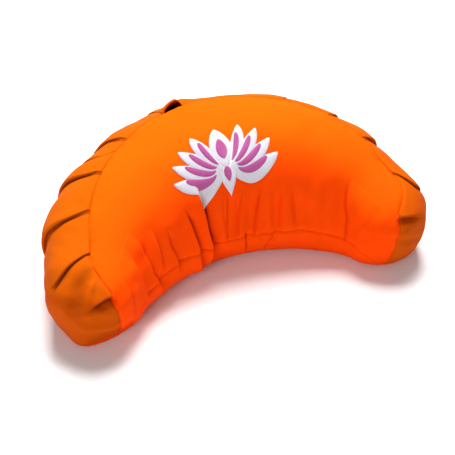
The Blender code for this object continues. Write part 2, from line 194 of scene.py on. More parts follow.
@dataclass
class CrescentForm:
    """The smooth form of the cushion.

    A place round the cushion is a number called along, negative on the left: 0 is the back middle, up to 1 is
    the outer arc, 1 to 2 the half turn round the horn, and 2 to 3 the inner arc back to the front middle. A
    place down the surface is down, the share of the way from the centre line to the plan outline.
    """

    arc_centre: tuple[float, float] = (0.00134, -0.14481)
    arc_radius: float = 0.180
    half_angle: float = np.radians(66.0)
    horn_reach: float = 1.08
    horn_fullness: float = 2.1
    widest: float = 0.058
    crown_spread: float = 2.33
    crown_round: float = 2.09
    foot_share: float = 0.55
    skirt_spread: float = 2.4
    skirt_round: float = 2.2
    pole_share: float = 0.5
    slope_step: float = 1e-5
    band_end: dict[Side, float] = field(default_factory=lambda: {Side.LEFT: 120 / 180, Side.RIGHT: 112 / 180})
    end_top: dict[Side, float] = field(default_factory=lambda: {Side.LEFT: 0.625, Side.RIGHT: 0.570})
    end_foot: dict[Side, float] = field(default_factory=lambda: {Side.LEFT: 0.693, Side.RIGHT: 0.658})
    end_curve: float = 2.5
    lean_reach: tuple[float, float] = (1.2, 1.95)
    widest_share: float = 0.58
    pushes: tuple[Push, ...] = ()
    band_end_share: dict[Side, float] = field(default_factory=lambda: {Side.LEFT: 0.88, Side.RIGHT: 0.82})
    band_end_bend: float = 4.0
    inner_rest_share: float = 0.62
    low_seam_front: float = 0.047
    low_seam_bend: float = 0.038
    low_seam_ease: float = 0.35
    low_seam_horn: float = 0.008
    low_seam_back: float = 0.007

    def section(self, name: str, place: Array) -> Array:
        """One measure of the stations at any place: a smooth cubic, with slopes from the neighbouring rows.

        Args:
            name: the measure's name.
            place: where it is wanted.

        Returns:
            The measure at each place.
        """
        at = np.array([station.place for station in STATIONS])
        value = np.array([getattr(station, name) for station in STATIONS])
        slope = np.gradient(value, at)
        place = np.clip(place, at[0], at[-1])
        left = np.clip(np.searchsorted(at, place, side="right") - 1, 0, len(at) - 2)
        gap = at[left + 1] - at[left]
        share = (place - at[left]) / gap
        start = value[left] * (1 + 2 * share) + gap * slope[left] * share
        end = value[left + 1] * (3 - 2 * share) - gap * slope[left + 1] * (1 - share)
        return start * (1 - share) ** 2 + end * share**2

    def arc_place(self, along: Array) -> Array:
        """The place on the arc that goes with along: the same going out, and mirrored at the horn coming back."""
        size = np.abs(along)
        return np.sign(along) * np.where(size < 1.5, np.minimum(size, 1), np.minimum(3 - size, 1))

    def turn(self, along: Array) -> Array:
        """The share of the half turn round the horn: 0 outside, 1 inside."""
        return np.clip(np.abs(along) - 1, 0, 1)

    def side_value(self, table: dict[Side, float], along: Array) -> Array:
        """The left or right value of a table, by the sign of along."""
        return np.where(along < 0, table[Side.LEFT], table[Side.RIGHT])

    def axes(self, place: Array) -> tuple[Array, Array]:
        """The plan directions out from the arc and on towards the nearer horn, at a place on the arc."""
        angle = np.clip(place, -1, 1) * self.half_angle
        side = np.where(place < 0, -1.0, 1.0)
        out = np.stack([np.sin(angle), np.cos(angle)], axis=-1)
        on = np.stack([side * np.cos(angle), -side * np.sin(angle)], axis=-1)
        return out, on

    def line(self, along: Array, down: Array) -> Array:
        """Plan points on the straight line from the centre line to the outline.

        Args:
            along: the place round the cushion.
            down: the share of the way out.

        Returns:
            Plan points, counted from the arc's centre.
        """
        place = self.arc_place(along)
        width = self.section("half_width", place)
        out, on = self.axes(place)
        cosine, sine = np.cos(np.pi * self.turn(along)), np.sin(np.pi * self.turn(along))
        power = 2 / self.horn_fullness
        reach_out = width * np.sign(cosine) * np.abs(cosine) ** power
        reach_on = width * self.horn_reach * np.abs(sine) ** power
        rim = reach_out[..., None] * out + reach_on[..., None] * on
        pole = -self.pole_share * width[..., None] * out
        return self.arc_radius * out + pole + down[..., None] * (rim - pole)

    def plan_place(self, plan: Array) -> tuple[Array, Array]:
        """How far plan points lie from the arc's line to the outline (0 to 1), and their place along the arc.

        Args:
            plan: plan points, counted from the arc's centre.

        Returns:
            The share and the place. Past a horn's end the share is that of a rounded square.
        """
        place = np.arctan2(plan[..., 0], plan[..., 1]) / self.half_angle
        side = np.where(place < 0, -1.0, 1.0)
        width = self.section("half_width", np.clip(place, -1, 1))
        share = np.abs(np.hypot(plan[..., 0], plan[..., 1]) - self.arc_radius) / width
        out, on = self.axes(side)
        from_end = plan - self.arc_radius * out
        across = np.abs((from_end * out).sum(axis=-1)) / width
        past = (from_end * on).sum(axis=-1)
        onward = np.maximum(past, 0) / (width * self.horn_reach)
        horn = (across**self.horn_fullness + onward**self.horn_fullness) ** (1 / self.horn_fullness)
        past_place = side * (1 + np.maximum(past, 0) / (self.arc_radius * self.half_angle))
        return np.where(past > 0, horn, share), np.where(past > 0, past_place, place)

    def height(self, plan: Array, upper: Array) -> Array:
        """Height over plan points of the upper or the lower surface, each a superellipse.

        Args:
            plan: plan points, counted from the arc's centre.
            upper: whether the upper surface is wanted, for each point.

        Returns:
            The heights.
        """
        share, place = self.plan_place(plan)
        share = np.minimum(share, 1)
        rise = np.maximum(1 - share**self.crown_spread, 0) ** (1 / self.crown_round)
        above = self.widest + (self.section("height", place) - self.widest) * rise
        up = np.clip((share - self.foot_share) / (1 - self.foot_share), 0, 1)
        below = self.widest * (1 - np.maximum(1 - up**self.skirt_spread, 0) ** (1 / self.skirt_round))
        return np.where(upper, above, below)

    def normal(self, points: Array, upper: Array) -> Array:
        """Unit normals, from the slopes of the superellipse that the cross-section follows.

        Args:
            points: points on the form, counted from the arc's centre.
            upper: whether each lies on the upper surface.

        Returns:
            The normals.
        """
        plan, height = points[..., :2], points[..., 2]
        share, place = self.plan_place(plan)
        steps = self.slope_step * np.eye(2)
        ends = [(self.plan_place(plan + step), self.plan_place(plan - step)) for step in steps]
        share_slope = np.stack([(more[0] - less[0]) / (2 * self.slope_step) for more, less in ends], axis=-1)
        crown_slope = np.stack(
            [
                (self.section("height", more[1]) - self.section("height", less[1])) / (2 * self.slope_step)
                for more, less in ends
            ],
            axis=-1,
        )
        crown = self.section("height", place) - self.widest
        rise = np.clip((height - self.widest) / crown, 0, 1)
        above_flat = (self.crown_spread * share ** (self.crown_spread - 1))[..., None] * share_slope
        above_flat = above_flat - (self.crown_round * rise**self.crown_round / crown)[..., None] * crown_slope
        above_up = self.crown_round * rise ** (self.crown_round - 1) / crown
        up = np.clip((share - self.foot_share) / (1 - self.foot_share), 0, 1)
        sink = np.clip(1 - height / self.widest, 0, 1)
        below_out = self.skirt_spread * up ** (self.skirt_spread - 1) / (1 - self.foot_share)
        below_flat = below_out[..., None] * share_slope
        below_up = -self.skirt_round * sink ** (self.skirt_round - 1) / self.widest
        above = np.concatenate([above_flat, above_up[..., None]], axis=-1)
        below = np.concatenate([below_flat, below_up[..., None]], axis=-1)
        normal = np.where(upper[..., None], above, below)
        return normal / np.linalg.norm(normal, axis=-1, keepdims=True)

    def end_turn(self, along: Array, fall: Array) -> Array:
        """The share of the half turn at which the band's end seam lies, by the share down the band."""
        top, foot = self.side_value(self.end_top, along), self.side_value(self.end_foot, along)
        return foot + (top - foot) * (1 - fall) ** self.end_curve

    def lean(self, along: Array, fall: Array) -> Array:
        """Moves columns near a horn's front so that they follow the leaning end seam.

        Args:
            along: the columns.
            fall: the share of the way down the band.

        Returns:
            The place round the cushion of each column at each share.
        """
        size, end = np.abs(along), 1 + self.side_value(self.end_top, along)
        start, stop = self.lean_reach
        near = np.clip(np.minimum((size - start) / (end - start), (stop - size) / (stop - end)), 0, 1)
        return along + np.sign(along) * near * (1 + self.end_turn(along, fall) - end)

    def horn_length(self, along: Array) -> Array:
        """The length of the half turn round the nearer horn."""
        return np.pi * self.section("half_width", np.where(along < 0, -1.0, 1.0))

    def pushed(self, points: Array) -> Array:
        """Points after every soft push."""
        total = points.copy()
        for push in self.pushes:
            near = bump(np.linalg.norm(points - np.array(push.centre), axis=-1) / push.reach)
            total += near[..., None] * np.array(push.shift)
        return total

    def seam_share(self, along: Array) -> Array:
        """The share down at which the top seam lies, and past the band's end the row that carries on from it."""
        place = self.arc_place(along)
        share = (self.section("seam_offset", place) + self.pole_share) / (1 + self.pole_share)
        end, end_share = self.side_value(self.band_end, along), self.side_value(self.band_end_share, along)
        turn = self.turn(along)
        share = share + (end_share - share) * np.minimum(turn / end, 1) ** self.band_end_bend
        past = smooth_step((turn - end) / (1 - end))
        return share + (self.inner_rest_share - share) * past

    def low_seam_height(self, along: Array) -> Array:
        """Height of the seam between the bottom panel and what lies above it."""
        turn, end = self.turn(along), self.side_value(self.band_end, along)
        back = self.low_seam_back + (self.low_seam_horn - self.low_seam_back) * smooth_step(2 * turn / end - 1)
        bend = smooth_step((turn - end) / (1 - end))
        horn = self.low_seam_horn + (self.low_seam_bend - self.low_seam_horn) * bend
        rise = smooth_step((1 - np.abs(self.arc_place(along))) / self.low_seam_ease)
        front = self.low_seam_bend + (self.low_seam_front - self.low_seam_bend) * rise
        return np.where(np.abs(along) >= 2, front, np.where(turn > end, horn, back))

    def down_at_height(self, along: Array, height: Array) -> Array:
        """The share down at which the lower surface has a height, by halving the interval.

        Args:
            along: the place round the cushion.
            height: the height wanted.

        Returns:
            The share for each pair.
        """
        rise = np.maximum(1 - (1 - height / self.widest) ** self.skirt_round, 0) ** (1 / self.skirt_spread)
        return self.down_at_share(along, self.foot_share + (1 - self.foot_share) * rise)

    def down_at_share(self, along: Array, wanted: Array) -> Array:
        """The share down at which the plan share has a value, by halving the interval."""
        along, wanted = np.broadcast_arrays(along, wanted)
        low, high = np.zeros(wanted.shape), np.ones(wanted.shape)
        for _ in range(26):
            middle = (low + high) / 2
            short = self.plan_place(self.line(along, middle))[0] < wanted
            low, high = np.where(short, middle, low), np.where(short, high, middle)
        return (low + high) / 2

    def surface(self, along: Array, down: Array, upper: Array) -> tuple[Array, Array]:
        """Points and unit normals of the form, in the row frame.

        Args:
            along: the place round the cushion.
            down: the share of the way from the centre line to the outline.
            upper: whether each point is on the upper surface.

        Returns:
            The points and the normals.
        """
        plan = self.line(along, down)
        points = np.concatenate([plan, self.height(plan, upper)[..., None]], axis=-1)
        normals = self.normal(points, upper)
        points[..., :2] += self.arc_centre
        return points, normals


@dataclass
class Weave:
    """A plain weave as a shader node group: threads over and under each other, with thicker and thinner ones."""

    name: str = "plain_weave"

    def group(self) -> bpy.types.NodeTree:
        """Builds the group once.

        Returns:
            The group, with inputs Threads and Slub and outputs Height and Mottle.
        """
        if self.name in bpy.data.node_groups:
            return bpy.data.node_groups[self.name]
        tree = bpy.data.node_groups.new(self.name, "ShaderNodeTree")
        threads = tree.interface.new_socket("Threads", in_out="INPUT", socket_type="NodeSocketFloat")
        threads.default_value = 2000.0
        slub = tree.interface.new_socket("Slub", in_out="INPUT", socket_type="NodeSocketFloat")
        slub.default_value = 0.4
        tree.interface.new_socket("Height", in_out="OUTPUT", socket_type="NodeSocketFloat")
        tree.interface.new_socket("Mottle", in_out="OUTPUT", socket_type="NodeSocketFloat")
        nodes, links = tree.nodes, tree.links
        given, put = nodes.new("NodeGroupInput"), nodes.new("NodeGroupOutput")
        cloth = nodes.new("ShaderNodeUVMap")
        cloth.uv_map = "cloth"
        split = nodes.new("ShaderNodeSeparateXYZ")
        links.new(cloth.outputs["UV"], split.inputs[0])
        waves = []
        for axis in ("X", "Y"):
            scaled = nodes.new("ShaderNodeMath")
            scaled.operation = "MULTIPLY"
            links.new(split.outputs[axis], scaled.inputs[0])
            links.new(given.outputs["Threads"], scaled.inputs[1])
            wave = nodes.new("ShaderNodeMath")
            wave.operation = "SINE"
            links.new(scaled.outputs[0], wave.inputs[0])
            waves.append(wave)
        over = nodes.new("ShaderNodeMath")
        over.operation = "MULTIPLY"
        links.new(waves[0].outputs[0], over.inputs[0])
        links.new(waves[1].outputs[0], over.inputs[1])
        uneven = nodes.new("ShaderNodeTexNoise")
        uneven.inputs["Scale"].default_value = 900.0
        uneven.inputs["Detail"].default_value = 2.0
        links.new(cloth.outputs["UV"], uneven.inputs["Vector"])
        added = nodes.new("ShaderNodeMath")
        added.operation = "MULTIPLY_ADD"
        links.new(uneven.outputs["Fac"], added.inputs[0])
        links.new(given.outputs["Slub"], added.inputs[1])
        links.new(over.outputs[0], added.inputs[2])
        links.new(added.outputs[0], put.inputs["Height"])
        place = nodes.new("ShaderNodeTexCoord")
        mottle = nodes.new("ShaderNodeTexNoise")
        mottle.inputs["Scale"].default_value = 22.0
        mottle.inputs["Detail"].default_value = 5.0
        mottle.inputs["Roughness"].default_value = 0.6
        links.new(place.outputs["Object"], mottle.inputs["Vector"])
        links.new(mottle.outputs["Fac"], put.inputs["Mottle"])
        return tree


@dataclass(frozen=True)
class Cotton:
    """A matt woven cotton: its colour, a painted shaded copy away from the light, a painted crease shade, and weave."""

    name: str
    colour: tuple[float, float, float]
    # A shaded copy of the colour, painted where the cloth faces away from the light.
    painted_dark: tuple[float, float, float]
    worn: tuple[float, float, float]
    # A dark colour, painted as the shade inside creases.
    gap: tuple[float, float, float]
    roughness: float = 0.82
    sheen: float = 0.0
    threads: float = 2 * np.pi / 0.00055
    bump: float = 0.22

    def material(self, name: str | None = None) -> bpy.types.Material:
        """The cloth's material, under its own or another name: colour with painted shade and a mottle, bump from weave.
        """
        made = bpy.data.materials.new(name or self.name)
        made.use_nodes = True
        nodes, links = made.node_tree.nodes, made.node_tree.links
        shader = nodes["Principled BSDF"]
        shader.inputs["Roughness"].default_value = self.roughness
        shader.inputs["Sheen Weight"].default_value = self.sheen
        shader.inputs["Sheen Roughness"].default_value = 0.45
        shader.inputs["Specular IOR Level"].default_value = 0.03
        weave = nodes.new("ShaderNodeGroup")
        weave.node_tree = Weave().group()
        weave.inputs["Threads"].default_value = self.threads
        # Painted shade: the colour moves to its shaded copy where the surface faces away from the light.
        painted_shade = nodes.new("ShaderNodeAttribute")
        painted_shade.attribute_name = "painted_shade"
        base = nodes.new("ShaderNodeMix")
        base.data_type = "RGBA"
        base.inputs["A"].default_value = (*self.colour, 1)
        base.inputs["B"].default_value = (*self.painted_dark, 1)
        links.new(painted_shade.outputs["Fac"], base.inputs["Factor"])
        shade = nodes.new("ShaderNodeMapRange")
        shade.inputs["From Min"].default_value = 0.3
        shade.inputs["From Max"].default_value = 0.75
        shade.inputs["To Max"].default_value = 0.22
        links.new(weave.outputs["Mottle"], shade.inputs["Value"])
        mixed = nodes.new("ShaderNodeMix")
        mixed.data_type = "RGBA"
        mixed.inputs["B"].default_value = (*self.worn, 1)
        links.new(shade.outputs["Result"], mixed.inputs["Factor"])
        links.new(base.outputs["Result"], mixed.inputs["A"])
        # Painted shade in creases: the colour moves to the dark crease colour.
        crease = nodes.new("ShaderNodeAttribute")
        crease.attribute_name = "crease"
        crease_shade_mix = nodes.new("ShaderNodeMix")
        crease_shade_mix.data_type = "RGBA"
        crease_shade_mix.inputs["B"].default_value = (*self.gap, 1)
        links.new(crease.outputs["Fac"], crease_shade_mix.inputs["Factor"])
        links.new(mixed.outputs["Result"], crease_shade_mix.inputs["A"])
        links.new(crease_shade_mix.outputs["Result"], shader.inputs["Base Color"])
        raised = nodes.new("ShaderNodeBump")
        raised.inputs["Strength"].default_value = self.bump
        raised.inputs["Distance"].default_value = 0.0002
        links.new(weave.outputs["Height"], raised.inputs["Height"])
        links.new(raised.outputs["Normal"], shader.inputs["Normal"])
        return made


@dataclass(frozen=True)
class SatinThread:
    """Embroidery thread laid side by side in satin stitch, slanting over each petal."""

    name: str
    colour: tuple[float, float, float]
    shaded: tuple[float, float, float]
    pitch: float = 0.00042
    slant: float = 0.55
    roughness: float = 0.38
    sheen: float = 0.2

    def material(self) -> bpy.types.Material:
        """The thread's material, read from the petal's own UV map: slanting bands in bump, and painted shade between
        the threads in flecks.
        """
        made = bpy.data.materials.new(self.name)
        made.use_nodes = True
        nodes, links = made.node_tree.nodes, made.node_tree.links
        shader = nodes["Principled BSDF"]
        shader.inputs["Roughness"].default_value = self.roughness
        shader.inputs["Sheen Weight"].default_value = self.sheen
        cloth = nodes.new("ShaderNodeUVMap")
        cloth.uv_map = "cloth"
        slanted = nodes.new("ShaderNodeVectorMath")
        slanted.operation = "DOT_PRODUCT"
        number = 2 * np.pi / self.pitch
        slanted.inputs[1].default_value = (number, number * self.slant, 0)
        links.new(cloth.outputs["UV"], slanted.inputs[0])
        band = nodes.new("ShaderNodeMath")
        band.operation = "SINE"
        links.new(slanted.outputs["Value"], band.inputs[0])
        share = nodes.new("ShaderNodeMapRange")
        share.inputs["From Min"].default_value = -1.0
        share.inputs["To Min"].default_value = 0.4
        share.inputs["To Max"].default_value = 1.2
        links.new(band.outputs[0], share.inputs["Value"])
        fleck = nodes.new("ShaderNodeTexNoise")
        fleck.inputs["Scale"].default_value = 450.0
        fleck.inputs["Detail"].default_value = 4.0
        fleck.inputs["Roughness"].default_value = 0.75
        links.new(cloth.outputs["UV"], fleck.inputs["Vector"])
        amount = nodes.new("ShaderNodeMath")
        amount.operation = "MULTIPLY"
        links.new(share.outputs["Result"], amount.inputs[0])
        links.new(fleck.outputs["Fac"], amount.inputs[1])
        mixed = nodes.new("ShaderNodeMix")
        mixed.data_type = "RGBA"
        mixed.inputs["A"].default_value = (*self.colour, 1)
        mixed.inputs["B"].default_value = (*self.shaded, 1)
        links.new(amount.outputs[0], mixed.inputs["Factor"])
        links.new(mixed.outputs["Result"], shader.inputs["Base Color"])
        raised = nodes.new("ShaderNodeBump")
        raised.inputs["Strength"].default_value = 0.5
        raised.inputs["Distance"].default_value = 0.00025
        links.new(band.outputs[0], raised.inputs["Height"])
        links.new(raised.outputs["Normal"], shader.inputs["Normal"])
        return made


# Each cotton: its colour, its shaded copy for painted shade, a worn tone for the mottle, and its painted crease shade.
BRIGHT_ORANGE = Cotton(
    "bright_orange_cotton", (0.86, 0.118, 0.0003), (1.00, 0.062, 0.0002), (0.86, 0.092, 0.0003), (0.36, 0.003, 0.0002)
)
OCHRE_ORANGE = Cotton(
    "ochre_orange_cotton", (0.60, 0.110, 0.0008), (0.58, 0.076, 0.0005), (0.50, 0.076, 0.0006), (0.10, 0.006, 0.0004)
)
# Each thread: its colour, and a shaded copy painted between its threads.
WHITE_THREAD = SatinThread("white_thread", (0.90, 0.89, 0.93), (0.52, 0.47, 0.60))
MAGENTA_THREAD = SatinThread("magenta_thread", (0.66, 0.100, 0.41), (0.20, 0.020, 0.12))


@dataclass
class Patch:
    """A grid of points across and down a piece, and what its mesh needs.

    Two arrays paint shade into the colour at each point: the first by how the point faces the light, the second
    inside a crease. The grid may close on itself across, and points that fall together, as at a pole, become one.
    """

    points: Array
    cloth_uv: Array
    painted_shade: Array
    crease: Array
    closed_across: bool = False
    flipped: bool = False

    def faces(self) -> Array:
        """The four corners of each face, wound so that the face looks outwards."""
        across, down = self.points.shape[:2]
        i = np.arange(across if self.closed_across else across - 1)[:, None]
        j = np.arange(down - 1)[None, :]
        following = (i + 1) % across
        corners = np.stack(
            [i * down + j, following * down + j, following * down + j + 1, i * down + j + 1], axis=-1
        )
        corners = corners.reshape(-1, 4)
        return corners[:, ::-1] if self.flipped else corners


def build_mesh(name: str, patches: list[Patch], extra_faces: Array | None, material: bpy.types.Material) -> bpy.types.Object:
    """Puts patches into one mesh object, merging the points that fall together.

    Args:
        name: the object's name.
        patches: the grids.
        extra_faces: corners of faces between the patches, counted over all their points, or None.
        material: what dresses it.

    Returns:
        The object, linked to the scene.
    """
    starts = np.cumsum([0] + [patch.points.shape[0] * patch.points.shape[1] for patch in patches[:-1]])
    points = np.concatenate([patch.points.reshape(-1, 3) for patch in patches])
    uv = np.concatenate([patch.cloth_uv.reshape(-1, 2) for patch in patches])
    faces = np.concatenate([patch.faces() + start for patch, start in zip(patches, starts)])
    if extra_faces is not None:
        faces = np.concatenate([faces, extra_faces])
    mesh = bpy.data.meshes.new(name)
    mesh.from_pydata(points.tolist(), [], faces.tolist())
    layer = mesh.uv_layers.new(name="cloth")
    corner = np.empty(len(mesh.loops), np.int32)
    mesh.loops.foreach_get("vertex_index", corner)
    layer.data.foreach_set("uv", uv[corner].astype(np.float32).ravel())
    for key in ("painted_shade", "crease"):
        value = np.concatenate([getattr(patch, key).reshape(-1) for patch in patches])
        mesh.attributes.new(key, "FLOAT", "POINT").data.foreach_set("value", value.astype(np.float32))
    work = bmesh.new()
    work.from_mesh(mesh)
    bmesh.ops.remove_doubles(work, verts=work.verts, dist=1e-6)
    work.to_mesh(mesh)
    work.free()
    mesh.shade_smooth()
    mesh.materials.append(material)
    piece = bpy.data.objects.new(name, mesh)
    bpy.context.scene.collection.objects.link(piece)
    return piece


def rim_faces(across: int, down: int, closed: bool) -> Array:
    """Faces that join the rims of two like grids, one after the other in a mesh, into a closed sheet.

    Args:
        across: the columns of each grid.
        down: the rows of each grid.
        closed: whether the grid closes on itself across, so that only its top and bottom rims are open.

    Returns:
        The corners of each face.
    """
    count = across * down
    top = np.arange(across) * down
    foot = top + down - 1
    if closed:
        loops = [(np.roll(top, -1), top), (foot, np.roll(foot, -1))]
    else:
        left, right = np.arange(down), np.arange(down) + (across - 1) * down
        loops = [(top[1:], top[:-1]), (foot[:-1], foot[1:]), (left[:-1], left[1:]), (right[1:], right[:-1])]
    return np.concatenate([np.stack([a, b, b + count, a + count], axis=-1) for a, b in loops])


def cloth_coordinates(points: Array, normals: Array, level: float = 0.1) -> Array:
    """UV in metres for a panel: its plan place, carried on down where the surface turns to the side."""
    height = points[..., 2:] - level
    return points[..., :2] - height * normals[..., :2]


def painted_shade_share(points: Array, normals: Array) -> Array:
    """Painted shade, 0 to 1: little on what faces up and back towards the light, more towards the horns and the floor.
    """
    # The light comes from above and behind: the shade deepens as the surface turns from it, and further forward.
    towards = np.array([-0.12, 0.42, 0.90])
    facing = smooth_step((0.93 - normals @ (towards / np.linalg.norm(towards))) / 0.95)
    return np.minimum(facing + 0.34 * smooth_step((0.02 - points[..., 1]) / 0.13), 1)


def lengths_down(points: Array) -> Array:
    """The length run down each column so far, at each of its points."""
    step = np.linalg.norm(np.diff(points, axis=1), axis=-1)
    return np.concatenate([np.zeros((len(points), 1)), np.cumsum(step, axis=1)], axis=1)


@dataclass(frozen=True)
class SeamEdge:
    """How cloth rolls into a seam: it dips over the last stretch, behind a small bead, and goes under."""

    dip: float = 2.0 * MILLIMETRE
    roll: float = 4.5 * MILLIMETRE
    bead: float = 0.5 * MILLIMETRE
    bead_place: float = 7.0 * MILLIMETRE
    bead_width: float = 4.0 * MILLIMETRE
    sink: float = 5.0 * MILLIMETRE
    sink_run: float = 2.5 * MILLIMETRE

    def relief(self, distance: Array) -> Array:
        """Height over the form by the distance inside the seam, which is negative under the next piece."""
        inside = -self.dip * np.clip(1 - distance / self.roll, 0, 1) ** 2
        inside = inside + self.bead * bump((distance - self.bead_place) / self.bead_width)
        under = -self.dip - (self.sink - self.dip) * smooth_step(-distance / self.sink_run)
        return np.where(distance >= 0, inside, under)


@dataclass(frozen=True)
class Fold:
    """A fold drawn into the front of the top panel.

    line holds its places along the arc, at even heights from top to bottom. side is 1 where the low side of the
    crease is the right one. The crease also gets painted shade, with a strength and a reach on the low side of its own.
    """

    line: tuple[float, ...]
    top: float
    bottom: float
    depth: float
    crisp: float = 0.0030
    side: int = 1
    swell: float = 0.5
    reach: float = 0.008
    fade: float = 0.020
    crease_shade: float = 0.25
    crease_shade_reach: float = 0.0

    def relief(self, place: Array, height: Array, scale: Array) -> tuple[Array, Array]:
        """The fold's relief.

        Args:
            place: place along the arc.
            height: height over the floor.
            scale: metres to a whole place, here.

        Returns:
            The height over the form, and the painted shade in the crease at each point.
        """
        share = np.clip((self.top - height) / (self.top - self.bottom), 0, 1)
        centre = np.interp(share, np.linspace(0, 1, len(self.line)), self.line)
        away = self.side * (place - centre) * scale
        shape = fold_profile(away, self.crisp, self.swell, self.reach)
        fade = smooth_step((self.top - height) / self.fade) * smooth_step((height - self.bottom) / 0.012 + 1)
        # Painted shade: a dark band just past the crease, widened on the low side.
        inside = np.maximum(np.abs(away - 0.3 * self.crisp - self.crease_shade_reach / 2) - self.crease_shade_reach / 2, 0)
        return self.depth * shape * fade, self.crease_shade * fade * bump(inside / 0.0012)


# The front's folds, each with the painted shade of its crease.
FRONT_FOLDS = (
    Fold((-0.305, -0.303, -0.305, -0.300, -0.273, -0.265, -0.283), 0.124, 0.018, 0.0086, 0.0020, reach=0.012, crease_shade=1.0, crease_shade_reach=0.0024),
    Fold((-0.472, -0.455, -0.445, -0.420, -0.413, -0.375), 0.106, 0.020, 0.0052, 0.0026, swell=0.7, reach=0.009, crease_shade=0.8, crease_shade_reach=0.0004),
    Fold((-0.675, -0.690, -0.650), 0.096, 0.044, 0.0042, crisp=0.0045),
    Fold((-0.740, -0.783, -0.812), 0.104, 0.060, 0.0036, crisp=0.0055),
    Fold((-0.840, -0.898, -0.908, -0.840), 0.104, 0.030, 0.0044, crisp=0.0045, reach=0.010),
    Fold((-0.935, -1.035, -1.030), 0.098, 0.040, 0.0036, crisp=0.0055, reach=0.010),
    Fold((-1.120, -1.212, -1.203), 0.090, 0.040, 0.0034, crisp=0.0055, reach=0.010),
    Fold((-0.098, -0.118, -0.120), 0.118, 0.066, 0.0020, crisp=0.0050, crease_shade=0.1),
    Fold((-0.050, -0.065, -0.095), 0.112, 0.056, 0.0028, crisp=0.0050, crease_shade=0.15),
    Fold((0.046, 0.050, 0.045), 0.110, 0.062, 0.0022, crisp=0.0050, side=-1, crease_shade=0.1),
    Fold((0.122, 0.095, 0.060, 0.045), 0.114, 0.056, 0.0032, crisp=0.0045, side=-1, crease_shade=0.2),
    Fold((0.284, 0.262, 0.225), 0.110, 0.054, 0.0042, crisp=0.0035, side=-1, crease_shade=0.35),
    Fold((0.390, 0.395, 0.400), 0.108, 0.062, 0.0022, crisp=0.0070, crease_shade=0.0),
    Fold((0.480, 0.484, 0.484), 0.106, 0.056, 0.0026, crisp=0.0050, side=-1, crease_shade=0.15),
    Fold((0.535, 0.580, 0.600), 0.106, 0.062, 0.0020, crisp=0.0060, crease_shade=0.1),
    Fold((0.890, 0.945, 0.995, 1.000), 0.112, 0.044, 0.0036, crisp=0.0050, side=-1, reach=0.012, crease_shade=0.45),
    Fold((0.112, 0.120, 0.130), 0.056, 0.026, 0.0030, crisp=0.0024, swell=0.3, reach=0.006, fade=0.008, crease_shade=0.4),
    Fold((0.440, 0.388, 0.325), 0.052, 0.024, 0.0026, crisp=0.0026, swell=0.3, reach=0.006, fade=0.008, crease_shade=0.35),
)
FRONT_START, FRONT_EASE = 1.62, 0.12


def front_relief(form: CrescentForm, points: Array, along: Array) -> tuple[Array, Array]:
    """The front's folds and its soft upright streaks, for the panels that show there.

    Args:
        form: the cushion's form.
        points: the form's points.
        along: their places round the cushion.

    Returns:
        The height over the form, and the painted shade in the creases at each point.
    """
    plan = points[..., :2] - np.array(form.arc_centre)
    place = np.arctan2(plan[..., 0], plan[..., 1]) / form.half_angle
    scale = form.half_angle * np.hypot(plan[..., 0], plan[..., 1])
    reliefs, crease_shades = zip(*(fold.relief(place, points[..., 2], scale) for fold in FRONT_FOLDS))
    streak = ripple(points * np.array([1.0, 1.0, 0.14]), 0.018, seed=4)
    streak = 0.0013 * streak * smooth_step((0.125 - points[..., 2]) / 0.050) * smooth_step(points[..., 2] / 0.060)
    here = smooth_step((np.abs(along) - FRONT_START) / FRONT_EASE)
    return (sum(reliefs) + streak) * here, np.clip(sum(crease_shades), 0, 1) * here


@dataclass(frozen=True)
class HornLine:
    """A ridge, hollow or crease at a horn's front, along corners of (place round the cushion, share down).

    A crease has crisp above 0 and drops to the right of its line, in metres. Otherwise it is a soft ridge, or a
    hollow where depth is below 0. caught is the share of the depth that it has at its start. Each line can also
    paint shade: into a crease, and over a hollow.
    """

    side: Side
    line: tuple[tuple[float, float], ...]
    depth: float
    reach: float
    crisp: float = 0.0
    swell: float = 0.35
    fade: float = 0.3
    crease_shade: float = 0.0
    caught: float = 1.0
    height: float = 0.130

    def relief(self, along: Array, fall: Array, length: Array) -> tuple[Array, Array]:
        """The relief over the horn, and the painted shade in its crease and hollow at each point.

        Args:
            along: the places round the cushion.
            fall: the shares of the way down the band.
            length: the length of the horn's half turn.

        Returns:
            Both, at each point.
        """
        scale = np.array([float(length), self.height])
        points = np.stack([np.abs(along), fall], axis=-1) * scale
        away, passed = line_distance(points, np.array(self.line) * scale)
        # Painted shade: over a hollow it follows the hollow's own shape; at a crease it is a thin band just past it.
        shape = inside = bump(away / self.reach)
        if self.crisp > 0:
            shape = fold_profile(away, self.crisp, self.swell, self.reach)
            inside = bump((away - 0.3 * self.crisp) / 0.0016)
        here = smooth_step((1 - passed) / self.fade) * (np.sign(along) == self.side.value)
        opened = self.caught + (1 - self.caught) * smooth_step(passed / 0.3)
        return self.depth * opened * shape * here, self.crease_shade * here * inside


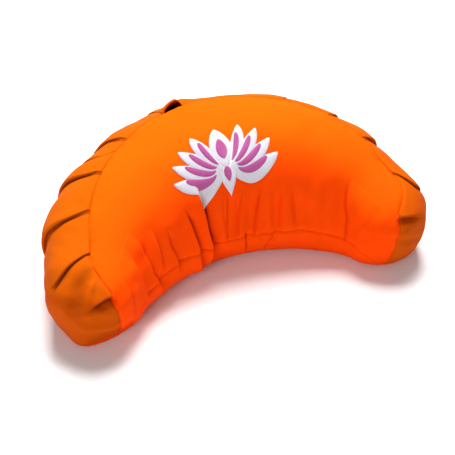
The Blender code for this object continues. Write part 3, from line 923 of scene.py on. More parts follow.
# Lines at the horns' fronts, some with painted shade in their creases and hollows.
HORN_LINES = (
    HornLine(
        Side.LEFT, ((1.66, 0.00), (1.633, 0.06), (1.553, 0.27), (1.480, 0.45)), 0.0085, 0.013, 0.0022, crease_shade=0.75
    ),
    HornLine(Side.LEFT, ((1.40, 0.04), (1.447, 0.14), (1.487, 0.39), (1.483, 0.64)), 0.0040, 0.006, fade=0.2, caught=0),
    HornLine(Side.LEFT, ((1.290, 0.08), (1.393, 0.30), (1.407, 0.66)), -0.0046, 0.011, crease_shade=0.30, caught=0.3),
    HornLine(Side.LEFT, ((1.403, 0.62), (1.477, 0.71), (1.553, 0.72), (1.72, 0.72)), 0.0040, 0.007, fade=0.2, caught=0),
    HornLine(
        Side.RIGHT, ((1.588, 0.07), (1.540, 0.16), (1.480, 0.29), (1.415, 0.46)), 0.0074, 0.013, 0.0030, 0.4, 0.5, 0.35, 0.4
    ),
    HornLine(Side.RIGHT, ((1.443, 0.76), (1.617, 0.64), (1.72, 0.57)), -0.0018, 0.005),
)
HORN_EASE = 0.06


def horn_relief(form: CrescentForm, along: Array, fall: Array) -> tuple[Array, Array]:
    """The folds at the horns' fronts, fading out past the band's end seams.

    Args:
        form: the cushion's form.
        along: places round the cushion.
        fall: shares of the way down the band.

    Returns:
        The height over the form, and the painted shade in the creases at each point.
    """
    # The second sum is painted shade, kept off the cloth past the end seams.
    total, painted_dark = np.zeros(along.shape), np.zeros(along.shape)
    for line in HORN_LINES:
        relief, crease = line.relief(along, fall, form.horn_length(np.array(float(line.side.value))))
        total, painted_dark = total + relief, painted_dark + crease
    past = np.abs(along) - 1 - form.end_turn(along, fall)
    return total * (1 - smooth_step(past / HORN_EASE)), painted_dark * (past < 0)


@dataclass
class TopPanel:
    """The filled cushion under its bright top panel, which goes over the crown and down the concave front."""

    form: CrescentForm
    edge: SeamEdge = SeamEdge(dip=0.9 * MILLIMETRE, roll=3.5 * MILLIMETRE, bead=0.3 * MILLIMETRE)
    arc_columns: int = 118
    horn_columns: int = 56
    crown_rows: int = 46
    upper_rows: int = 20
    lower_rows: int = 24
    under_rows: int = 6

    def columns(self, arc: int, horn: int, near_end: bool) -> Array:
        """Places round the cushion, closer together at the band's end seams.

        Args:
            arc: columns on one side of the outer arc, and again of the inner arc.
            horn: columns round each horn.
            near_end: whether the end seams get columns of their own.

        Returns:
            The places, in order round the cushion.
        """
        arc_part = np.arange(arc) / arc
        halves = {}
        for side in Side:
            end = 1 + self.form.end_top[side]
            horn_part = 1 + np.arange(horn) / horn
            if near_end:
                close = end + np.array([-0.012, -0.005, 0.0, 0.005, 0.010, 0.016, 0.024, 0.034])
                horn_part = np.concatenate([horn_part[np.abs(horn_part - end - 0.011) > 0.032], close])
            halves[side] = np.sort(np.concatenate([arc_part, horn_part, 3 - arc_part[1:], [2.0]]))
        return np.concatenate([halves[Side.RIGHT], [3.0], -halves[Side.LEFT][:0:-1]])

    def rows(self, along: Array, crown: int, upper: int, lower: int, under: int) -> tuple[Array, Array, Array, Array]:
        """The place of each row in each column.

        Args:
            along: the columns.
            crown: rows from the centre line to the seam.
            upper: rows from there to the widest line.
            lower: rows on to the low seam.
            under: rows on to the centre line underneath.

        Returns:
            The places round the cushion, the shares down, whether each is on the upper surface, and the share
            of the way down the band.
        """
        form = self.form
        to_seam = 1 - (1 - np.linspace(0, 1, crown + 1)) ** 1.5
        to_widest = np.linspace(0, 1, upper + 1)[1:] ** 1.3
        to_low = 1 - (1 - np.linspace(0, 1, lower + 1)[1:]) ** 1.4
        to_foot = np.linspace(0, 1, under + 1)[1:]
        widest = form.widest_share
        fall = np.concatenate(
            [0 * to_seam, widest * to_widest, widest + (1 - widest) * to_low, 1 + 0 * to_foot, np.ones(1)]
        )
        placed = form.lean(along[:, None], fall[None, :])
        seam_row, widest_row = crown + 1, crown + 1 + upper
        low_row = widest_row + lower
        seam = form.seam_share(placed)
        crown_part = seam[:, :seam_row] * to_seam
        start = np.arcsin(seam[:, seam_row:widest_row])
        upper_part = np.sin(start + (np.pi / 2 - start) * to_widest)
        side_part = placed[:, widest_row:low_row]
        rungs = form.widest + (form.low_seam_height(side_part) - form.widest) * to_low
        lower_part = form.down_at_height(side_part, rungs)
        last = lower_part[:, -1:]
        foot = form.down_at_share(placed[:, -1], np.full(len(along), form.foot_share))[:, None]
        under_part = last + (foot - last) * to_foot
        down = np.concatenate([crown_part, upper_part, lower_part, under_part, np.zeros_like(foot)], axis=1)
        flags = np.broadcast_to(np.arange(down.shape[1]) < widest_row, down.shape)
        return placed, down, flags, np.broadcast_to(fall, down.shape)

    def seam_distance(self, along: Array, fall: Array, points: Array, seam_row: int, low_row: int) -> Array:
        """How far each point lies inside the panel's seams, along the surface.

        Args:
            along: the places round the cushion.
            fall: the shares of the way down the band.
            points: the form's points.
            seam_row: the row of the top seam.
            low_row: the row of the low seam.

        Returns:
            The distance, negative where another piece covers the point.
        """
        run = lengths_down(points)
        from_top = run[:, seam_row : seam_row + 1] - run
        from_end = (np.abs(along) - 1 - self.form.end_turn(along, fall)) * self.form.horn_length(along)
        from_low = run[:, low_row : low_row + 1] - run
        return np.minimum(np.maximum(from_top, from_end), from_low)

    def relief(
        self, points: Array, distance: Array, along: Array, fall: Array, above: Array
    ) -> tuple[Array, Array]:
        """Folds, puckers and unevenness over the form.

        Args:
            points: the form's points.
            distance: how far each lies inside the seams.
            along: their places round the cushion.
            fall: their shares of the way down the band.
            above: how far each lies above the top seam.

        Returns:
            The height over the form of each point, and the painted shade in a crease there.
        """
        total, crease = front_relief(self.form, points, along)
        total += horn_relief(self.form, along, fall)[0] * bump(above / 0.007)
        total += 0.0006 * ripple(points, 0.045, seed=5)
        pucker = ripple(points * np.array([1.0, 1.0, 0.25]), 0.013, seed=11)
        total += 0.00045 * pucker * smooth_step(1 - distance / 0.020) * (distance > 0)
        return total + self.edge.relief(distance), crease

    def settle(self, points: Array, normals: Array, seam_row: int, low_row: int, distance: Array) -> Array:
        """Lets the cloth of the panel settle over its filling in a short cloth simulation.

        The coarse closed form is blown up a little with its seams held, and each point's way out along its
        normal is read back.

        Args:
            points: the coarse form's points.
            normals: its normals.
            seam_row: the row of the top seam; not used.
            low_row: the row of the low seam; not used.
            distance: how far each point lies inside the seams.

        Returns:
            The way out of each point, within the cap.
        """
        sink, cap = 0.003, 0.006
        free = smooth_step(distance / 0.030)
        start = points - (sink * free)[..., None] * normals
        flat = np.zeros(distance.shape)
        piece = build_mesh(
            "settling", [Patch(start, start[..., :2], flat, flat, closed_across=True)], None, bpy.data.materials.new("plain")
        )
        count = len(piece.data.vertices)
        rest = np.empty(count * 3)
        piece.data.vertices.foreach_get("co", rest)
        rest = rest.reshape(-1, 3)
        keys = np.round(start.reshape(-1, 3) * 1e5).astype(np.int64)
        where = {tuple(key): index for index, key in enumerate(np.round(rest * 1e5).astype(np.int64).tolist())}
        index = np.array([where.get(tuple(key), -1) for key in keys.tolist()])
        held = piece.vertex_groups.new(name="held")
        fixed = np.zeros(count, bool)
        fixed[index[(distance.reshape(-1) < 0.002) & (index >= 0)]] = True
        held.add(np.flatnonzero(fixed).tolist(), 1.0, "REPLACE")
        cloth = piece.modifiers.new("cloth", "CLOTH")
        cloth.settings.quality = 6
        cloth.settings.mass = 0.2
        cloth.settings.tension_stiffness = 12
        cloth.settings.compression_stiffness = 6
        cloth.settings.shear_stiffness = 4
        cloth.settings.bending_stiffness = 1.5
        cloth.settings.shrink_min = -0.006
        cloth.settings.use_pressure = True
        cloth.settings.uniform_pressure_force = 4.0
        cloth.settings.vertex_group_mass = "held"
        cloth.settings.effector_weights.gravity = 0.0
        cloth.collision_settings.use_collision = False
        scene = bpy.context.scene
        for frame_number in range(1, 21):
            scene.frame_set(frame_number)
        shaped = piece.evaluated_get(bpy.context.evaluated_depsgraph_get()).to_mesh()
        moved = np.empty(count * 3)
        shaped.vertices.foreach_get("co", moved)
        scene.frame_set(1)
        bpy.data.objects.remove(piece)
        change = (moved.reshape(-1, 3) - rest)[np.maximum(index, 0)].reshape(points.shape)
        out = (change * normals).sum(axis=-1) * (index.reshape(distance.shape) >= 0)
        return (np.clip(out, -cap, cap) - sink) * free

    def settled_relief(self, along: Array, down: Array, upper: Array) -> Array:
        """The settling of a coarse form, carried over to the fine grid's rows and columns.

        Args:
            along: the fine grid's columns.
            down: the fine grid's shares down.
            upper: its upper flags; not used.

        Returns:
            The way out of each point of the fine grid.
        """
        coarse = (self.arc_columns // 3, self.horn_columns // 4)
        rows = (16, 8, 9, 3)
        near = self.columns(*coarse, near_end=False)
        placed, near_down, near_upper, fall = self.rows(near, *rows)
        points, normals = self.form.surface(placed, near_down, near_upper)
        distance = self.seam_distance(placed, fall, points, rows[0], sum(rows[:3]))
        out = self.settle(points, normals, rows[0], sum(rows[:3]), distance)
        even = 0.25 * (np.roll(out, 1, axis=0) + np.roll(out, -1, axis=0)) + 0.5 * out
        position = np.where(near < 0, near + 6, near)
        fine_position = np.where(along < 0, along + 6, along)
        order = np.argsort(position)
        column = np.interp(fine_position, [*position[order], 6.0], np.arange(len(near) + 1))
        run = np.cumsum([0, *rows])
        fine_run = np.cumsum([0, self.crown_rows, self.upper_rows, self.lower_rows, self.under_rows])
        row = np.interp(np.arange(down.shape[1]), [*fine_run, down.shape[1] - 1], [*run, near_down.shape[1] - 1])
        even = even[order]
        left, top = np.floor(column).astype(int), np.minimum(np.floor(row).astype(int), near_down.shape[1] - 2)
        x, y = (column - left)[:, None], (row - top)[None, :]
        here, there = even[left % len(near)], even[(left + 1) % len(near)]
        return (1 - x) * ((1 - y) * here[:, top] + y * here[:, top + 1]) + x * (
            (1 - y) * there[:, top] + y * there[:, top + 1]
        )

    def build(self) -> bpy.types.Object:
        """Makes the panel and its filling as one closed piece."""
        along = self.columns(self.arc_columns, self.horn_columns, near_end=True)
        placed, down, upper, fall = self.rows(
            along, self.crown_rows, self.upper_rows, self.lower_rows, self.under_rows
        )
        points, normals = self.form.surface(placed, down, upper)
        low_row = self.crown_rows + self.upper_rows + self.lower_rows
        distance = self.seam_distance(placed, fall, points, self.crown_rows, low_row)
        run = lengths_down(points)
        above = np.maximum(run[:, self.crown_rows : self.crown_rows + 1] - run, 0)
        relief, crease = self.relief(points, distance, placed, fall, above)
        loose = 0.25 + 0.75 * smooth_step((0.115 - points[..., 2]) / 0.040)
        relief += loose * self.settled_relief(along, down, upper)
        relief[:, 0] = self.pole_row(relief[:, 0], along)
        relief[:, -1] = -self.edge.sink
        shaped = self.form.pushed(points + relief[..., None] * normals)
        # The patch carries painted shade by facing and painted shade in the creases.
        patch = Patch(shaped, cloth_coordinates(points, normals), painted_shade_share(points, normals), crease, closed_across=True)
        piece = build_mesh("top_panel_cloth", [patch], None, BRIGHT_ORANGE.material())
        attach(piece, ROOT)
        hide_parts("top_panel")
        return piece

    def pole_row(self, row: Array, along: Array) -> Array:
        """The relief on the centre line, made the same for columns that share a point there."""
        place = self.form.arc_place(along)
        order = np.argsort(place, kind="stable")
        same = np.round(place[order], 6)
        _, group = np.unique(same, return_inverse=True)
        mean = np.bincount(group, weights=row[order]) / np.bincount(group)
        result = np.empty_like(row)
        result[order] = mean[group]
        return result


@dataclass(frozen=True)
class Pleat:
    """A knife pleat of the band. Its fold edge faces the horn, and the cloth past it tucks in under it.

    place is where its crease meets the top seam. The crease drifts towards the horn by drift, easing out by the
    share down that drift_end gives. caught is the share of its height at the top seam, end is how far down the
    band it has died out, and belly keeps its rise near the fold edge.
    """

    place: float
    drift: float
    height: float
    overhang: float
    caught: float = 0.30
    end: float = 0.95
    drift_end: float = 0.28
    belly: float = 1.0
    tuck: float = 0.012


@dataclass
class SideBand:
    """The ochre side band, laid in knife pleats, from the front of one horn round the back to the other."""

    form: CrescentForm
    edge: SeamEdge = SeamEdge(dip=2.2 * MILLIMETRE, roll=4.0 * MILLIMETRE, bead=0.4 * MILLIMETRE)
    rows: int = 68
    plain_columns: int = 84
    rise_columns: int = 26
    roll_columns: int = 7
    tuck_columns: int = 5
    thickness: float = 1.4 * MILLIMETRE
    first: dict[Side, float] = field(default_factory=lambda: {Side.LEFT: 0.0, Side.RIGHT: 0.20})
    pleats: dict[Side, tuple[Pleat, ...]] = field(
        default_factory=lambda: {
            Side.LEFT: (
                Pleat(place=0.160, drift=0.004, height=0.0014, overhang=0.0006, caught=0.5, end=0.4),
                Pleat(place=0.363, drift=0.028, height=0.0044, overhang=0.0028, belly=1.3),
                Pleat(place=0.443, drift=0.062, height=0.0016, overhang=0.0005, end=0.45, drift_end=0.2),
                Pleat(place=0.567, drift=0.026, height=0.0056, overhang=0.0034),
                Pleat(place=0.770, drift=0.060, height=0.0064, overhang=0.0040),
                Pleat(place=0.997, drift=0.190, height=0.0066, overhang=0.0042, end=0.42, drift_end=0.40),
            ),
            Side.RIGHT: (
                Pleat(place=0.410, drift=0.010, height=0.0026, overhang=0.0016, caught=0.45, belly=2.0),
                Pleat(place=0.620, drift=0.010, height=0.0042, overhang=0.0028, caught=0.2),
                Pleat(place=0.797, drift=0.010, height=0.0056, overhang=0.0034, caught=0.2),
                Pleat(place=1.010, drift=0.150, height=0.0046, overhang=0.0038, end=0.46),
            ),
        }
    )
    pocket_place: float = -0.087
    pocket_reach: tuple[float, float] = (0.026, 0.070)
    pocket_rise: float = 0.0090
    bulge_place: float = -0.045
    bulge_reach: float = 0.048
    bulge_rise: float = 0.0036

    def side_columns(self, side: Side) -> dict[str, Array]:
        """The columns of one side: where each lies when the cloth is flat, and how a pleat moves it.

        Across each pleat the cloth rises to the fold edge in a quarter sine, rolls over it in a half circle and
        goes back under it to the crease.

        Args:
            side: left or right.

        Returns:
            Arrays by column: flat (place), shift (metres past it), rise (share of the height), which (pleat).
        """
        start = self.first[side]
        before = np.linspace(0, start, self.rise_columns // 2, endpoint=False) if start else np.zeros(0)
        parts = [(before, 0 * before, 0 * before, -1)]
        for which, pleat in enumerate(self.pleats[side]):
            crease, squeeze = pleat.place, 0.006
            s = np.linspace(0, 1, self.rise_columns, endpoint=False)
            rise = np.sin(np.pi / 2 * s**pleat.belly)
            parts.append((start + (crease - squeeze - start) * s, pleat.overhang * s**4, rise, which))
            a = np.linspace(0, np.pi, self.roll_columns)
            parts.append(
                (
                    crease - squeeze * (1 - a / np.pi * 0.5),
                    pleat.overhang + 0.0014 * np.sin(a),
                    0.72 + 0.28 * np.cos(a),
                    which,
                )
            )
            t = np.linspace(0, 1, self.tuck_columns + 1)[1:]
            length = self.form.arc_radius * self.form.half_angle
            back = pleat.overhang + (-pleat.tuck * length * 0.5 - pleat.overhang) * t
            parts.append((crease - squeeze * 0.5 * (1 - t), back, 0.44 * (1 - t) ** 1.4, which))
            start = crease + 0.004
        end = 1 + self.form.end_top[side]
        s = np.linspace(0, 1, self.plain_columns)
        close = np.array([-0.010, -0.006, -0.003, 0.0])
        plain = np.concatenate([start + (end - 0.014 - start) * s, end + close])
        parts.append((plain, np.zeros(plain.shape), np.zeros(plain.shape), -1))
        return {
            "flat": np.concatenate([part[0] for part in parts]),
            "shift": np.concatenate([part[1] for part in parts]),
            "rise": np.concatenate([part[2] for part in parts]),
            "which": np.concatenate([np.full(len(part[0]), part[3]) for part in parts]),
        }

    def spread(self, flat: Array, side: Side, down: Array) -> Array:
        """Where columns lie along the band at each row: creases drift towards the horn as they go down."""
        pleats, end = self.pleats[side], 1 + self.form.end_top[side]
        at = np.array([0.0, *(pleat.place for pleat in pleats), end])
        sign = np.array([float(side.value)])
        drift = [pleat.drift * (1 - (1 - np.minimum(down / pleat.drift_end, 1)) ** 2) for pleat in pleats]
        knots = np.stack([0 * down, *drift, 1 + self.form.end_turn(sign, down) - end])
        right = np.clip(np.searchsorted(at, flat), 1, len(at) - 1)
        share = ((flat - at[right - 1]) / (at[right] - at[right - 1]))[:, None]
        return flat[:, None] + (1 - share) * knots[right - 1] + share * knots[right]

    def amount(self, which: Array, side: Side, down: Array) -> Array:
        """How much of its height a pleat has at each row: caught at the seam, full below it, fading at its end."""
        pleats = [*self.pleats[side], Pleat(0.0, 0.0, 0.0, 0.0)]
        caught = np.array([pleat.caught for pleat in pleats])[which][:, None]
        end = np.array([pleat.end for pleat in pleats])[which][:, None]
        opened = caught + (1 - caught) * smooth_step(down[None, :] / 0.22)
        return opened * np.cos(np.pi / 2 * np.clip(down[None, :] / end, 0, 1) ** 1.7)

    def place_points(self, along: Array, down: Array) -> tuple[Array, Array]:
        """Points and normals of the smooth form under the band.

        Args:
            along: the place round the cushion, by column and row.
            down: the share of the way down the band, by row.

        Returns:
            The points and the normals.
        """
        widest = self.form.widest_share
        upper = np.broadcast_to(down <= widest, along.shape)
        seam = self.form.seam_share(along)
        angle = np.arcsin(seam) + (np.pi / 2 - np.arcsin(seam)) * np.minimum(down / widest, 1)
        fall = np.clip((down - widest) / (1 - widest), 0, 1)
        height = self.form.widest + (self.form.low_seam_height(along) - self.form.widest) * fall
        lower_part = self.form.down_at_height(along, height)
        share = np.where(upper, np.sin(angle), lower_part)
        return self.form.surface(along, share, upper)

    def lift(self, along: Array, down: Array) -> Array:
        """The open pocket: the edge of one pleat stands off the seam as an arch, and fades down the band."""
        away = along - self.pocket_place
        reach = np.where(away < 0, self.pocket_reach[1], self.pocket_reach[0])
        arch = np.clip(1 - np.abs(away) / reach, 0, 1)
        bulge = bump((along - self.bulge_place) / self.bulge_reach) * smooth_step(down / 0.05)
        near, far = 1 - smooth_step(down / 0.10), 1 - smooth_step(down / 0.45)
        return near * self.pocket_rise * np.sin(np.pi / 2 * arch) ** 0.75 + far * self.bulge_rise * bulge

    def half(self, side: Side, down: Array) -> dict[str, Array]:
        """One side of the band: its outer and inner layer.

        Args:
            side: left or right.
            down: the rows' shares of the way down the band.

        Returns:
            The outer and inner points, UV coordinates, painted shade and painted crease shade, by column and row.
        """
        columns = self.side_columns(side)
        amount = self.amount(columns["which"], side, down)
        along = side.value * self.spread(columns["flat"], side, down)
        rows = np.broadcast_to(down, along.shape)
        points, normals = self.place_points(along, rows)
        step = 1e-3 * side.value
        ahead, _ = self.place_points(along + step, rows)
        tangent = ahead - points
        tangent /= np.linalg.norm(tangent, axis=-1, keepdims=True)
        heights = np.array([pleat.height for pleat in self.pleats[side]] + [0.0])[columns["which"]]
        pleat = (heights * columns["rise"])[:, None] * amount
        run = lengths_down(points)
        distance = np.minimum(run, run[:, -1:] - run)
        past_end = np.abs(along) - 1 - self.form.end_turn(along, rows)
        distance = np.minimum(distance, -past_end * self.form.horn_length(along))
        lifted = self.lift(along, rows)
        open_edge = smooth_step(lifted / 0.003)
        seam = self.edge.relief(np.maximum(distance, 0)) * (1 - open_edge)
        puff = 0.0007 * ripple(points, 0.034, seed=21) + 0.0002 * ripple(points, 0.016, seed=22)
        puff = puff * smooth_step(distance / 0.012)
        folds, folds_crease_shade = horn_relief(self.form, along, rows)
        common = lifted + seam + folds + puff
        outer = points + (common + pleat)[..., None] * normals
        outer += (columns["shift"][:, None] * amount)[..., None] * tangent
        inner = points + (common - self.thickness)[..., None] * normals
        outer, inner = self.form.pushed(outer), self.form.pushed(inner)
        across = np.concatenate([[0], np.cumsum(np.linalg.norm(np.diff(outer[:, len(down) // 3], axis=0), axis=-1))])
        uv = np.stack([side.value * np.broadcast_to(across[:, None], along.shape), run], axis=-1)
        # Painted shade in the horn folds and just past each pleat's fold edge.
        crease = np.clip(folds_crease_shade + self.gap(columns["which"], columns["rise"], along, side, down), 0, 1)
        return {"outer": outer, "inner": inner, "uv": uv, "painted_shade": painted_shade_share(points, normals), "crease": crease}

    def gap(self, which: Array, rise: Array, along: Array, side: Side, down: Array) -> Array:
        """The painted shade in the pleats' creases at each point of the outer layer.

        Args:
            which: each column's pleat, or -1.
            rise: each column's share of the pleat's height; not used.
            along: the place round the cushion, by column and row.
            side: left or right.
            down: the rows' shares of the way down the band.

        Returns:
            The painted shade, from 0 to 1: most just past the fold edge, while the pleat stands off.
        """
        total = np.zeros(along.shape)
        metres = np.where(np.abs(along) < 1, 0.30, 0.17)
        for number, pleat in enumerate(self.pleats[side]):
            drift = pleat.drift * (1 - (1 - np.minimum(down / pleat.drift_end, 1)) ** 2)
            amount = self.amount(np.array([number]), side, down)[0]
            away = (np.abs(along) - pleat.place - drift) * metres - pleat.overhang
            strength = np.clip(pleat.height / 0.0060, 0, 1) * smooth_step(amount / 0.45)
            total += strength * bump((away - 0.0004) / 0.0015) * (which != number)[:, None]
        return total

    def build(self) -> bpy.types.Object:
        """Makes the band as one closed sheet."""
        t = np.linspace(0, 1, self.rows)
        down = 0.55 * t + 0.45 * (0.5 - 0.5 * np.cos(np.pi * t))
        left, right = self.half(Side.LEFT, down), self.half(Side.RIGHT, down)
        joined = {key: np.concatenate([left[key][:0:-1], right[key]]) for key in left}
        # Both layers get painted shade by facing; only the outer one gets painted crease shade.
        outer = Patch(joined["outer"], joined["uv"], joined["painted_shade"], joined["crease"])
        inner = Patch(joined["inner"], joined["uv"], joined["painted_shade"], 0 * joined["painted_shade"], flipped=True)
        across, rows = joined["outer"].shape[:2]
        piece = build_mesh("side_band_cloth", [outer, inner], rim_faces(across, rows, False), OCHRE_ORANGE.material())
        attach(piece, ROOT)
        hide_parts("side_band")
        return piece


@dataclass
class BottomPanel:
    """The bottom panel: flat under the cushion, turned up to the low seam and showing below it at the front."""

    form: CrescentForm
    top: TopPanel
    edge: SeamEdge = SeamEdge(dip=0.8 * MILLIMETRE, roll=3.0 * MILLIMETRE, bead=0.2 * MILLIMETRE)
    rise_rows: int = 26
    flat_rows: int = 10
    thickness: float = 1.4 * MILLIMETRE

    def build(self) -> bpy.types.Object:
        """Makes the panel as one closed dish of cloth."""
        form = self.form
        along = self.top.columns(self.top.arc_columns, self.top.horn_columns // 2, near_end=False)
        start = form.down_at_height(along, form.low_seam_height(along))[:, None]
        foot = form.down_at_share(along, np.full(along.shape, form.foot_share))[:, None]
        down_turn = np.linspace(0, 1, self.rise_rows)
        turned = start + (foot - start) * down_turn**1.2
        flat = foot * (1 - np.linspace(0, 1, self.flat_rows + 1)[1:])
        down = np.concatenate([turned, flat], axis=1)
        upper = np.zeros(down.shape, bool)
        points, normals = form.surface(np.broadcast_to(along[:, None], down.shape), down, upper)
        run = lengths_down(points)
        relief = self.edge.relief(run)
        lifted = smooth_step(points[..., 2] / 0.020)
        folds, crease = front_relief(form, points, along[:, None])
        relief += (folds + 0.0006 * ripple(points, 0.045, seed=5)) * lifted
        pucker = ripple(points * np.array([1.0, 1.0, 0.25]), 0.013, seed=11)
        relief += 0.00045 * pucker * smooth_step(1 - run / 0.030) * lifted
        outer = points + relief[..., None] * normals
        outer = form.pushed(outer)
        outer[..., 2] = np.maximum(outer[..., 2], 0.0)
        inner = outer - self.thickness * normals
        uv = cloth_coordinates(points, normals)
        # Painted shade by facing, and painted crease shade where the front's folds reach.
        painted_shade = painted_shade_share(points, normals)
        layers = [Patch(outer, uv, painted_shade, crease * lifted, True), Patch(inner, uv, painted_shade, 0 * painted_shade, True, flipped=True)]
        faces = self.rim(*outer.shape[:2])
        piece = build_mesh("bottom_panel_cloth", layers, faces, BRIGHT_ORANGE.material("low_orange_cotton"))
        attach(piece, ROOT)
        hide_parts("bottom_panel")
        return piece

    def rim(self, across: int, down: int) -> Array:
        """Faces that close the dish along its upper rim."""
        count = across * down
        here = np.arange(across) * down
        after = np.roll(here, -1)
        return np.stack([after, here, here + count, after + count], axis=-1)


@dataclass(frozen=True)
class Petal:
    """A leaf of satin stitch, from its foot to its tip, in millimetres of plan from the flower's heart.

    Its middle line is a cubic curve with two pull points. Its half width grows with the share along to the power
    of foot_power, and falls to the tip with tip_power.
    """

    foot: tuple[float, float]
    first_pull: tuple[float, float]
    second_pull: tuple[float, float]
    tip: tuple[float, float]
    half_width: float
    foot_power: float = 0.7
    tip_power: float = 0.75

    def mirrored(self, side: Side) -> Petal:
        """The same leaf on one side of the flower."""
        sign = float(side.value)
        flipped = {
            name: (sign * getattr(self, name)[0], getattr(self, name)[1])
            for name in ("foot", "first_pull", "second_pull", "tip")
        }
        return replace(self, **flipped)

    def grid(self, along: int, around: int) -> tuple[Array, Array, Array]:
        """The leaf as a flat closed loop of points round its middle line, at each step along it.

        Args:
            along: steps along the leaf.
            around: steps round it.

        Returns:
            Plan points, the lift of each (-1 to 1), and UV, in metres.
        """
        share = 0.5 - 0.5 * np.cos(np.pi * np.linspace(0, 1, along))
        t = share[:, None]
        points = MILLIMETRE * np.array([self.foot, self.first_pull, self.second_pull, self.tip])
        weights = np.concatenate([(1 - t) ** 3, 3 * (1 - t) ** 2 * t, 3 * (1 - t) * t**2, t**3], axis=1)
        slopes = np.concatenate([(1 - t) ** 2, 2 * (1 - t) * t, t**2], axis=1)
        middle, slope = weights @ points, slopes @ np.diff(points, axis=0)
        slope /= np.linalg.norm(slope, axis=1, keepdims=True)
        across = np.stack([-slope[:, 1], slope[:, 0]], axis=1)
        peak = self.foot_power / (self.foot_power + self.tip_power)
        top = peak**self.foot_power * (1 - peak) ** self.tip_power
        half = MILLIMETRE * self.half_width
        width = half * share**self.foot_power * (1 - share) ** self.tip_power / top
        angle = np.linspace(0, 2 * np.pi, around, endpoint=False)
        side = width[:, None] * np.cos(angle)[None, :]
        plan = middle[:, None, :] + side[..., None] * across[:, None, :]
        lift = np.sin(angle)[None, :] * np.minimum(width / (0.3 * half), 1)[:, None]
        length = np.concatenate([[0], np.cumsum(np.linalg.norm(np.diff(middle, axis=0), axis=1))])
        uv = np.stack([np.broadcast_to(length[:, None], side.shape), side], axis=-1)
        return plan, lift, uv


@dataclass(frozen=True)
class LotusDesign:
    """The flower's own plain layout, in millimetres of plan from its heart, each length a share of the half span.

    The side leaves' tips stand at even steps of angle on half an ellipse. Each leaf sets off lower than its tip by
    sag degrees and curls up to it. A stripe is its leaf drawn in towards the foot and made narrower.
    """

    count: int = 4
    half_span: float = 60.0
    rise: float = 0.72 * 60.0
    first_angle: float = 0.0
    angle_step: float = 21.0
    sag: float = 24.0
    foot: tuple[float, float] = (0.06 * 60.0, -0.03 * 60.0)
    leaf_width: float = 0.12 * 60.0
    stripe_reach: float = 0.76
    stripe_start: float = 0.14
    stripe_width: float = 0.05 * 60.0
    bud_height: float = 0.65 * 60.0
    bud_width: float = 0.20 * 60.0
    drop_height: float = 0.25 * 60.0
    drop_width: float = 0.14 * 60.0
    heart_share: float = 0.5

    def side_petals(self) -> tuple[Petal, ...]:
        """The leaves of one side, lowest first."""
        leaves = []
        for number in range(self.count):
            angle = np.radians(self.first_angle + self.angle_step * number)
            tip = np.array([self.half_span * np.cos(angle), self.rise * np.sin(angle)])
            reach, heading = np.hypot(*tip), np.arctan2(tip[1], tip[0])
            pulls = []
            for share, lower in ((0.40, self.sag), (0.80, self.sag / 3)):
                aim = heading - np.radians(lower)
                pulls.append((share * reach * np.cos(aim), share * reach * np.sin(aim)))
            leaves.append(Petal(self.foot, pulls[0], pulls[1], tuple(tip), self.leaf_width, 0.6, 0.8))
        return tuple(leaves)

    def side_stripes(self) -> tuple[Petal, ...]:
        """The stripe on each leaf of one side."""
        foot = np.array(self.foot)
        stripes = []
        for leaf in self.side_petals():
            first, second, tip = (
                tuple(foot + self.stripe_reach * (np.array(point) - foot))
                for point in (leaf.first_pull, leaf.second_pull, leaf.tip)
            )
            start = tuple(foot + self.stripe_start * (np.array(leaf.tip) - foot))
            stripes.append(Petal(start, first, second, tip, self.stripe_width, 0.8, 0.45))
        return tuple(stripes)

    def upright(self, start: float, stop: float, half_width: float) -> Petal:
        """A straight leaf on the flower's middle line."""
        pulls = [(0.0, start + share * (stop - start)) for share in (1 / 3, 2 / 3)]
        return Petal((0.0, start), pulls[0], pulls[1], (0.0, stop), half_width, 0.6, 0.8)

    def middle_petals(self) -> tuple[Petal, ...]:
        """The bud and the small drop below it."""
        bud = self.upright(0.0, self.bud_height, self.bud_width)
        return bud, self.upright(2.0, -self.drop_height, self.drop_width)

    def middle_stripes(self) -> tuple[Petal, ...]:
        """The hearts of the bud and of the drop."""
        share = self.heart_share
        low, high = 0.5 * (1 - share) * 0.7 * self.bud_height, 0.5 * (1 + share) * 0.9 * self.bud_height
        bud = self.upright(low, high, share * self.bud_width)
        return bud, self.upright(1.0, -0.6 * self.drop_height, share * self.drop_width)


